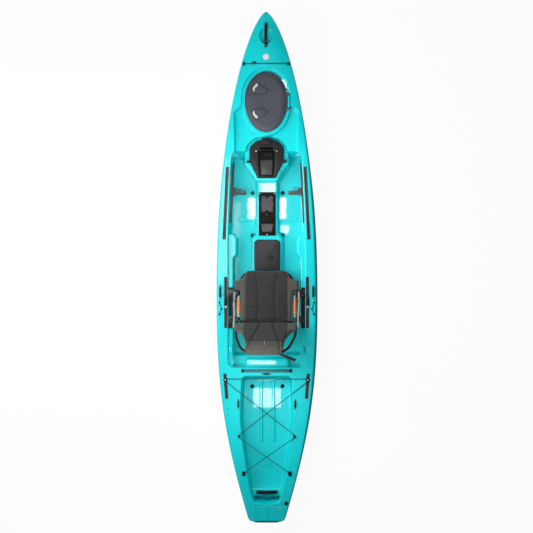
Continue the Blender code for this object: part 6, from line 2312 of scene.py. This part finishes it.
@dataclass
class SeatBase:
    """Rails, bent tube frame on slides, orange sleeves, clamp knobs and the seat pad."""

    rail_x: float = 0.3035
    rail_ends: tuple[float, float] = (-0.1650, -0.5070)
    rail_top: float = 0.2883
    tube: float = 0.011
    level: float = 0.285
    half: float = 0.235
    slides: tuple[tuple[float, float], ...] = ((-0.215, 0.070), (-0.433, 0.056))
    hinge: tuple[float, float] = (-0.470, 0.335)

    def rails(self) -> None:
        """Slotted rails screwed to the ledges."""
        fore, aft = self.rail_ends
        for tag, sign in SIDES:
            x, low = sign * self.rail_x, self.rail_top - 0.018
            name = "seat_rail_" + tag
            piece = Piece(name + "_bar").run(slot_section(0.034, 0.018, 0.006, 0.011, 0.004),
                                             [Vector((x, aft, low)), Vector((x, fore, low))])
            for y in (fore - 0.004, aft + 0.004):
                piece.block((0.0335, 0.0078, 0.0172), (x, y, low + 0.0088), 0.0015, 2)
            piece.done(DECK, "kayak", (name,))
            screws(name + "_screws", "kayak",
                   [(x, y, low + 0.0038) for y in (-0.185, -0.300, -0.360, -0.490)], 0.0046,
                   0.0018, TRACK)

    def frame(self) -> None:
        """Bent tube with its slides, clamp blocks and hinge lugs."""
        nose = self.half - 0.065
        corners = [(0.0, -0.452, self.level, 0.0), (self.half, -0.452, self.level, 0.04),
                   (self.half, -0.125, self.level, 0.03), (nose, -0.036, self.level, 0.045),
                   (0.0, -0.036, self.level, 0.0)]
        path = bent_loop(corners)
        piece = Piece("seat_tube").rod(self.tube, path, 20, True)
        low = self.rail_top + GAP
        y, z = self.hinge
        for _, sign in SIDES:
            for place, long in self.slides:
                piece.block((0.0835, long, 0.007), (sign * 0.27875, place, low + 0.0035), 0.002)
                piece.block((0.011, 0.024, 0.012), (sign * self.rail_x, place,
                                                    self.rail_top - 0.005), 0.001, 1)
                piece.block((0.026, 0.62 * long, 0.0150), (sign * 0.2470, place, low + 0.0060),
                            0.004)
                for step in (-0.36, 0.36):
                    piece.block((0.030, 0.008, 0.0095), (sign * 0.2760, place + step * long,
                                                         low + 0.0072), 0.002, 2)
            piece.block((0.016, 0.034, 0.070), (sign * 0.190, y + 0.003, self.level + 0.030),
                        0.004)
        bores = [Piece("lug_bore").turned([(0.0, -0.05), (0.0113, -0.05), (0.0113, 0.05),
                                           (0.0, 0.05)], (sign * 0.190, y, z), TO_X)
                 for _, sign in SIDES]
        piece.less(*bores)
        piece.done(TUBE, "seat", ("seat_frame",))

    def trim(self) -> None:
        """Sleeves with their pale dots, bare tube beside them, knobs and slide screws."""
        fore, aft = -0.263, -0.391
        along = Matrix.Rotation(-math.pi / 2.0, 3, "X")
        for tag, sign in SIDES:
            name = "seat_sleeve_" + tag
            place = (sign * self.half, aft, self.level)
            run = fore - aft
            Piece(name + "_wrap").turned(
                [(0.0113, 0.0), (0.0136, 0.0), (0.0145, 0.0012), (0.0145, run - 0.0012),
                 (0.0136, run), (0.0113, run), (0.0113, 0.0)], place, along,
                36).done(SLEEVE, "seat", (name,))
            dots = Piece(name + "_dots")
            for y in (-0.292, -0.330, -0.372):
                dots.turned([(0.0, -0.0008), (0.0036, -0.0008), (0.0036, 0.0002),
                             (0.0030, 0.0007), (0.0, 0.0008)],
                            (sign * self.half, y, self.level + 0.0145), None, 20)
            dots.done(DOT, "seat")
            bare = Piece("seat_tube_bare_" + tag)
            for first, last in ((-0.2315, -0.2625), (-0.3915, -0.4145)):
                bare.turned([(0.0109, 0.0), (0.0113, 0.0), (0.0117, 0.0005),
                             (0.0117, first - last - 0.0005), (0.0113, first - last),
                             (0.0109, first - last), (0.0109, 0.0)],
                            (sign * self.half, last, self.level), along, 32)
            bare.done(BARE, "seat")
            knob("rail_knob_" + tag, (sign * self.rail_x, -0.230, self.rail_top + 0.0076),
                 0.015, 0.019, "rail_knob_" + tag, 0.008)
            screws("slide_screws_" + tag, "seat",
                   [(sign * x, y, self.rail_top + 0.0071) for x, y in
                    ((0.2700, -0.2150), (0.3100, -0.1880), (0.2700, -0.4330), (0.3100, -0.4180),
                     (0.3100, -0.4480))], 0.0040, 0.0018, TUBE)

    def build(self) -> None:
        """Makes the whole seat base."""
        self.rails()
        self.frame()
        self.trim()
        wide = self.half
        pad = Cushion(
            "seat_cushion", "seat", SEAT_CLOTH,
            [(-0.4485, wide + 0.011), (-0.4400, wide + 0.021), (-0.4360, wide + 0.017),
             (-0.4340, wide - 0.012), (-0.4300, wide - 0.023), (-0.2150, wide - 0.020),
             (-0.2000, wide - 0.017), (-0.1900, wide - 0.008), (-0.1860, wide + 0.006),
             (-0.1820, wide + 0.033), (-0.1100, wide + 0.033), (-0.1060, wide + 0.020),
             (-0.1030, wide - 0.002), (-0.0980, wide - 0.020), (-0.0880, wide - 0.038),
             (-0.0700, wide - 0.051), (-0.0450, wide - 0.063), (-0.0260, wide - 0.071)],
            [(-0.4485, 0.086), (-0.380, 0.073), (-0.300, 0.066), (-0.200, 0.066),
             (-0.120, 0.077), (-0.0260, 0.100)],
            self.level + self.tube + GAP, 0.026, 0.010, (-0.318, 0.021), 0.176, 1.0,
            Matrix())
        pad.pad()
        pad.piping([(-0.4300, -0.1900), (-0.1060, -0.0300)])


@dataclass
class SeatBack:
    """Reclining bent tube with its pad, the straps that stay it and their hardware."""

    hinge: Point = (0.0, -0.470, 0.335)
    recline: float = 25.0
    tube: float = 0.011
    half: float = 0.232
    top: float = 0.520

    def place(self) -> Matrix:
        """Matrix from across, up and out of the back to the boat.

        Returns:
            The matrix.
        """
        swap = Matrix(((1, 0, 0, 0), (0, 0, 1, 0), (0, 1, 0, 0), (0, 0, 0, 1)))
        return (Matrix.Translation(self.hinge)
                @ Matrix.Rotation(math.radians(self.recline), 4, "X") @ swap)

    def frame(self) -> None:
        """Bent tube that turns in the lugs of the seat."""
        corners = [(0.0, 0.0, 0.0, 0.0), (self.half, 0.0, 0.0, 0.03),
                   (self.half + 0.034, 0.140, 0.0, 0.14), (0.190, 0.478, -0.01, 0.10),
                   (0.120, self.top, -0.01, 0.03), (0.0, self.top, -0.01, 0.0)]
        path = bent_loop(corners)
        piece = Piece("back_tube").rod(self.tube, path, 20, True)
        bmesh.ops.transform(piece.bm, matrix=self.place(), verts=piece.bm.verts)
        piece.done(TUBE, "back", ("back_frame",))

    def hem(self) -> None:
        """Gathered hem that wraps the top of the tube."""
        outline = rounded([(0.494, 0.006, 0.002), (0.498, 0.0285, 0.006), (0.514, 0.0280, 0.008),
                           (0.5345, 0.0060, 0.012), (0.5365, -0.0180, 0.012),
                           (0.5240, -0.0255, 0.010), (0.5080, -0.0180, 0.008)], 1.0, 0.35)
        place, rings = self.place(), []
        middle = Vector((0.516, 0.002))
        for k in range(73):
            x = 0.1480 * (k / 36.0 - 1.0)
            drop = 0.014 * ramp(0.110, 0.148, abs(x))
            grow = 1.0 + 0.020 * math.cos(2.0 * math.pi * x / 0.0125)
            rings.append([place @ Vector((x, middle.x + (p.x - middle.x) * grow - drop,
                                          middle.y + (p.y - middle.y) * grow))
                          for p in outline])
        piece = Piece("back_hem").skin(rings)
        layer = piece.bm.verts.layers.float.new("panel")
        for vert in piece.bm.verts:
            vert[layer] = 1.0
        piece.done(BACK_CLOTH, "back")

    def straps(self) -> None:
        """Stay straps from the front slides to the wings, and the loose end at the top."""
        place = self.place()
        for tag, sign in SIDES:
            first = Vector((sign * 0.2680, -0.2000, 0.3065))
            last = place @ Vector((sign * 0.2700, 0.128, 0.0300))
            line = []
            for k in range(25):
                share = k / 24.0
                p = first.lerp(last, share)
                p.z -= 0.010 * math.sin(math.pi * share)
                p.x += sign * 0.0025 * math.sin(2.0 * math.pi * share)
                line.append(p)
            made = Piece("stay_strap_" + tag).run(bar_section(0.014, 0.0017, 0.0007), line)
            strap = made.solid()
            strap.data.shade_smooth()
            strap.data.set_sharp_from_angle(angle=math.radians(35.0))
            strap.data.materials.append(WEBBING.make())
            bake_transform(strap)
            buckle = Piece("strap_buckle_" + tag)
            spot = line[6]
            lean = lengthwise(line[7] - line[5])
            for step, size in (((0.0, 0.010, 0.0), (0.026, 0.0035, 0.004)),
                               ((0.0, -0.010, 0.0), (0.026, 0.0035, 0.004)),
                               ((0.0115, 0.0, 0.0), (0.0030, 0.022, 0.004)),
                               ((-0.0115, 0.0, 0.0), (0.0030, 0.022, 0.004))):
                buckle.block(size, spot + lean @ Vector(step), 0.0012, 2, lean)
            buckle.done(DECK, "seat")
            Piece("strap_foot_" + tag).block((0.024, 0.016, 0.010), first - Vector(
                (0.0, 0.004, 0.0050)), 0.003).done(DECK, "seat")
        Piece("strap_tag_left").block((0.0075, 0.034, 0.0012), (-0.2775, -0.3060, 0.3310), 0.0005,
                                      1, Matrix.Rotation(0.42, 3, "X")).done(SLEEVE, "seat")
        loose = [place @ Vector((0.134, 0.508, -0.024)), place @ Vector((0.146, 0.512, -0.030))]
        for k in range(1, 10):
            share = k / 9.0
            loose.append(loose[1] + Vector((0.110 * share, -0.048 * share,
                                            -0.030 * share - 0.060 * share ** 2)))
        Piece("loose_strap").run(bar_section(0.025, 0.0022, 0.0008), loose).done(STRAP, "back")

    def trim(self) -> None:
        """Ring with an orange dot on the port wing, and the top tab."""
        place = self.place()
        ring = [place @ p for p in oval((-0.2160, 0.142, 0.0370), 0.0115, 0.0240, 36)]
        Piece("wing_ring").rod(0.0032, ring, 10, True).done(DECK, "back")
        Piece("wing_dot").turned([(0.0, -0.006), (0.0052, -0.006), (0.0052, 0.0020),
                                  (0.0040, 0.0030), (0.0, 0.0034)],
                                 place @ Vector((-0.2160, 0.156, 0.0370)),
                                 place.to_3x3() @ Matrix.Diagonal((1, -1, 1)), 20).done(
                                     SLEEVE, "back")
        loop = [place @ Vector((-0.020 + 0.014 * math.cos(a), 0.5225 + 0.0030 * math.sin(a),
                                -0.026 + 0.012 * math.sin(a)))
                for a in (math.pi * k / 12 for k in range(13))]
        Piece("top_loop").run(bar_section(0.008, 0.0022, 0.0008), loop).done(STRAP, "back")

    def build(self) -> None:
        """Makes the whole back."""
        self.frame()
        wide, tall = self.half, self.top - 0.008
        pad = Cushion(
            "back_cushion", "back", BACK_CLOTH,
            [(0.045, wide - 0.017), (0.055, wide + 0.008), (0.070, wide + 0.024),
             (0.085, wide + 0.030), (0.172, wide + 0.027), (0.177, wide + 0.014),
             (0.182, wide - 0.002), (0.190, wide - 0.015), (0.208, wide - 0.027),
             (0.250, wide - 0.042), (0.329, 0.168), (0.410, 0.160), (tall, 0.157)],
            [(0.045, 0.062), (0.130, 0.060), (0.220, 0.072), (0.320, 0.098), (0.400, 0.120),
             (tall, 0.130)],
            self.tube + GAP, 0.024, 0.008, (-1.0, 0.0), 0.180, 0.402, self.place())
        pad.pad()
        pad.piping([(0.182, 0.395)])
        tick = Piece("band_tick")
        tick.run(bar_section(0.0045, 0.0016, 0.0006),
                 [pad.at(0.002, 0.412 + 0.010 * k, 0.0006) for k in range(9)])
        tick.done(WEBBING, "back")
        self.hem()
        self.straps()
        self.trim()


@dataclass
class SternDeck:
    """Handles, bar, pad-eyes, drain plug and the laced bungee of the after deck."""

    deck: float = SHEER_MID + GAP
    bar_y: float = -0.8615
    thick: float = 0.003
    neck: float = 0.0050
    fore: tuple[float, float] = (0.3458651, -0.9397)
    mid: tuple[float, float] = (0.2318, -1.4110)
    aft: tuple[float, float] = (0.1930, -1.7215)

    def tangent(self, centre: Vector, other: Vector, sign: float) -> Vector:
        """Point where the cord from another stud meets this stud's wrap circle.

        Args:
            centre: Middle of this stud.
            other: Middle of the other stud.
            sign: Side on which the cord passes.

        Returns:
            The point.
        """
        wrap = self.neck + self.thick + 0.0006
        line = other - centre
        swing = math.acos(wrap / line.length) * sign
        return centre + Matrix.Rotation(swing, 2) @ line.normalized() * wrap

    def wrapped(self, before: Vector, centre: Vector, after: Vector, sign: float) -> Outline:
        """Points of the cord round one stud.

        Args:
            before: Stud that it comes from.
            centre: Stud that it goes round.
            after: Stud that it goes to.
            sign: Which way round.

        Returns:
            Points of the wrap in plan.
        """
        first = self.tangent(centre, before, sign) - centre
        last = self.tangent(centre, after, -sign) - centre
        sweep = math.atan2(last.y, last.x) - math.atan2(first.y, first.x)
        while sweep * sign < 0.0:
            sweep += 2.0 * math.pi * sign
        while abs(sweep) > 2.0 * math.pi:
            sweep -= 2.0 * math.pi * sign
        steps = max(3, math.ceil(abs(sweep) / 0.55))
        return [centre + Matrix.Rotation(sweep * k / steps, 2) @ first for k in range(steps + 1)]

    def lace(self) -> list[Vector]:
        """Points of the one cord, lifted where it crosses itself.

        Returns:
            Points of the cord.
        """
        fr, fl = Vector(self.fore), Vector((-self.fore[0], self.fore[1]))
        mr, ml = Vector(self.mid), Vector((-self.mid[0], self.mid[1]))
        er, el = Vector(self.aft), Vector((-self.aft[0], self.aft[1]))
        level = self.deck + 0.004 + self.thick + 0.0008
        legs = [[el], self.wrapped(el, mr, fl, 1.0), self.wrapped(mr, fl, fr, -1.0),
                self.wrapped(fl, fr, ml, -1.0), self.wrapped(fr, ml, er, 1.0), [er]]
        out = []
        for k, leg in enumerate(legs):
            if k:
                start = out[-1]
                lift = (0.0038, 0.0038, 0.0, -0.0038, -0.0038)[k - 1]
                for share in (0.15, 0.3, 0.42, 0.5, 0.58, 0.7, 0.85) if lift else (0.5,):
                    p = start.xy.lerp(leg[0], share)
                    out.append(Vector((p.x, p.y, level + lift * math.sin(math.pi * share))))
            out += [Vector((p.x, p.y, level)) for p in leg]
        return out

    def cords(self) -> None:
        """Lays the stern bungee."""
        points = self.lace()
        cord = cord_line("stern_bungee_cord", points, self.thick, CORD, "kayak",
                         ("stern_bungee",))

    def studs(self) -> None:
        """Studs that the cord goes round and the clamps that hold its ends."""
        for tag, sign in SIDES:
            for place, (x, y) in (("fore", self.fore), ("mid", self.mid)):
                Piece("stud_%s_%s" % (place, tag)).turned(
                    [(0.0, 0.0), (0.012, 0.0), (0.012, 0.0030), (0.0112, 0.0040),
                     (self.neck, 0.0042), (self.neck, 0.0118), (0.0104, 0.0121),
                     (0.0110, 0.0128), (0.0108, 0.0146), (0.0085, 0.0162), (0.0040, 0.0168),
                     (0.0030, 0.0158), (0.0, 0.0158)], (sign * x, y, self.deck), None,
                    32).done(DECK, "kayak", ("bungee_stud_%s_%s" % (place, tag),))
            x, y = sign * self.fore[0], self.fore[1]
            Piece("stud_washer_" + tag).turned(
                [(0.0122, 0.0002), (0.0175, 0.0002), (0.0175, 0.0024), (0.0165, 0.0032),
                 (0.0122, 0.0032), (0.0122, 0.0002)], (x, y, self.deck), None, 36).done(
                     DARK, "kayak")
            screws("stud_screws_" + tag, "kayak", [(x, y, self.deck + 0.0156)], 0.0068, 0.0022)
            x, y = sign * self.aft[0], self.aft[1]
            clamp = Piece("cord_clamp_" + tag)
            clamp.block((0.026, 0.036, 0.0135), (x, y, self.deck + 0.00675), 0.0035)
            clamp.block((0.018, 0.012, 0.0016), (x, y, self.deck + 0.0138), 0.0006, 2)
            clamp.done(DECK, "kayak", ("bungee_end_" + tag,))
            screws("cord_clamp_screws_" + tag, "kayak",
                   [(x, y + step, self.deck + 0.0132) for step in (-0.0115, 0.0115)], 0.0032,
                   0.0018, TRACK)

    def grips(self) -> None:
        """Carry handles, pad-eyes and the bar behind the seat."""
        for tag, sign in SIDES:
            strap_handle("side_handle_" + tag, side_handle_ends(sign), 0.020, 0.016, 0.007,
                         0.018)
            x, y = sign * 0.2380, -1.1418
            strap_handle("tank_eye_" + tag, (Vector((x, y - 0.040, self.deck)),
                                             Vector((x, y + 0.040, self.deck))),
                         0.014, 0.014, 0.006, 0.016, False)
        strap_handle("stern_handle", (Vector((-0.092, -1.881, 0.2403)),
                                      Vector((0.092, -1.881, 0.2403))),
                     0.026, 0.028, 0.009, 0.024)
        bar = Piece("rear_bar_shell").block((0.415, 0.024, 0.012),
                                            (0.0, self.bar_y, self.deck + 0.006), 0.0045, 4)
        for x in (-0.150, -0.050, 0.050, 0.150):
            bar.block((0.060, 0.010, 0.0010), (x, self.bar_y, self.deck + 0.0121), 0.0004, 1)
        # The bar takes the hull's teal painted as it looks in shade.
        bar.done(TEAL_PAINTED_SHADE, "kayak", ("rear_bar",))
        caps = Piece("rear_bar_caps")
        for x in (-0.2010, 0.2010):
            caps.block((0.018, 0.030, 0.0138), (x, self.bar_y, self.deck + 0.0070), 0.004)
        caps.done(DARK, "kayak")
        strap_handle("centre_eye", (Vector((-0.0375, -0.8885, self.deck)),
                                    Vector((0.0325, -0.8885, self.deck))),
                     0.013, 0.013, 0.006, 0.016, False, False)
        screws("rear_bar_screws", "kayak", [(x, self.bar_y, self.deck + 0.0118)
                                            for x in (-0.195, 0.0, 0.195)], 0.0040,
               0.0018, TRACK)

    def drain(self) -> None:
        """Drain plug with a slot for a coin."""
        x, y = DRAIN
        piece = Piece("drain_cap").turned(
            [(0.0, -0.016), (0.0095, -0.016), (0.0105, -0.015), (0.0105, 0.0003),
             (0.0155, 0.0003), (0.0160, 0.0010), (0.0160, 0.0045), (0.0148, 0.0062),
             (0.0120, 0.0078), (0.0, 0.0080)], (x, y, SHEER_MID), None, 40)
        piece.less(Piece("coin_slot").block((0.018, 0.0030, 0.006), (x, y, SHEER_MID + 0.0080),
                                            0.0, 1, Matrix.Rotation(0.6, 3, "Z")))
        piece.done(DECK, "drain_plug", ("drain_plug",))

    def extras(self) -> None:
        """Threaded inserts, cord buttons and their short cords, and the transom screws."""
        inserts, dark = [], []
        for _, sign in SIDES:
            inserts += [(sign * 0.3520, y, self.surface(0.352, y)) for y in (-0.6800, -0.7180)]
            inserts += [(sign * 0.1130, y, SHEER_MID - GAP) for y in (-2.0230, -2.1020)]
            for x, y in ((0.3290, -1.1880), (0.3290, -1.2320), (0.3180, 0.8720),
                         (0.0630, 0.7330)):
                dark.append((sign * x, y, self.surface(x, y)))
            Piece("corner_post_" + ("port" if sign < 0.0 else "starboard")).block(
                (0.030, 0.056, 0.022), (sign * 0.3020, -0.6860, 0.2812), 0.005).done(
                    TEAL, "kayak")
        screws("deck_inserts", "kayak", inserts, 0.0046, 0.0014)
        screws("dark_inserts", "kayak", dark, 0.0046, 0.0014, DECK)
        for tag, sign in SIDES:
            spots = [Vector((sign * x, y, HullLines.deck(x, y)))
                     for x, y in ((0.3960, -0.2900), (0.3790, -0.3450), (0.3960, -0.3900))]
            buttons = Piece("cord_buttons_" + tag)
            for spot in spots:
                buttons.turned([(0.0, -0.0006), (0.0085, -0.0006), (0.0088, 0.0012),
                                (0.0072, 0.0034), (0.0038, 0.0044), (0.0, 0.0046)], spot, None,
                               24)
            buttons.done(DECK, "kayak")
            rise = Vector((0.0, 0.0, 0.0042))
            line = [spot + rise for spot in spots]
            path = [line[0].lerp(line[1], k / 8.0) for k in range(8)]
            path += [line[1].lerp(line[2], k / 8.0) for k in range(9)]
            cord = cord_line("keeper_cord_" + tag, path, 0.0024, CORD, "kayak")

    @staticmethod
    def surface(x: float, y: float) -> float:
        """Height of the moulding where an insert sits."""
        return 0.1897 if abs(x) < 0.1 else HullLines.deck(x, y) - GAP

    def build(self) -> None:
        """Makes the cords first, then everything that holds them."""
        self.cords()
        self.studs()
        self.grips()
        self.drain()
        self.extras()


def main() -> None:
    """Builds the studio and every part of the boat."""
    logging.basicConfig(level=logging.INFO, format="%(message)s")
    Studio().build()
    BowFittings().build()
    SternDeck().build()
    Hull().build()
    BowHatch().build()
    Console().build()
    CentreTray().build()
    MidHatch().build()
    FootBraces().build()
    Tracks().build()
    SeatBase().build()
    SeatBack().build()


if __name__ == "__main__":
    main()
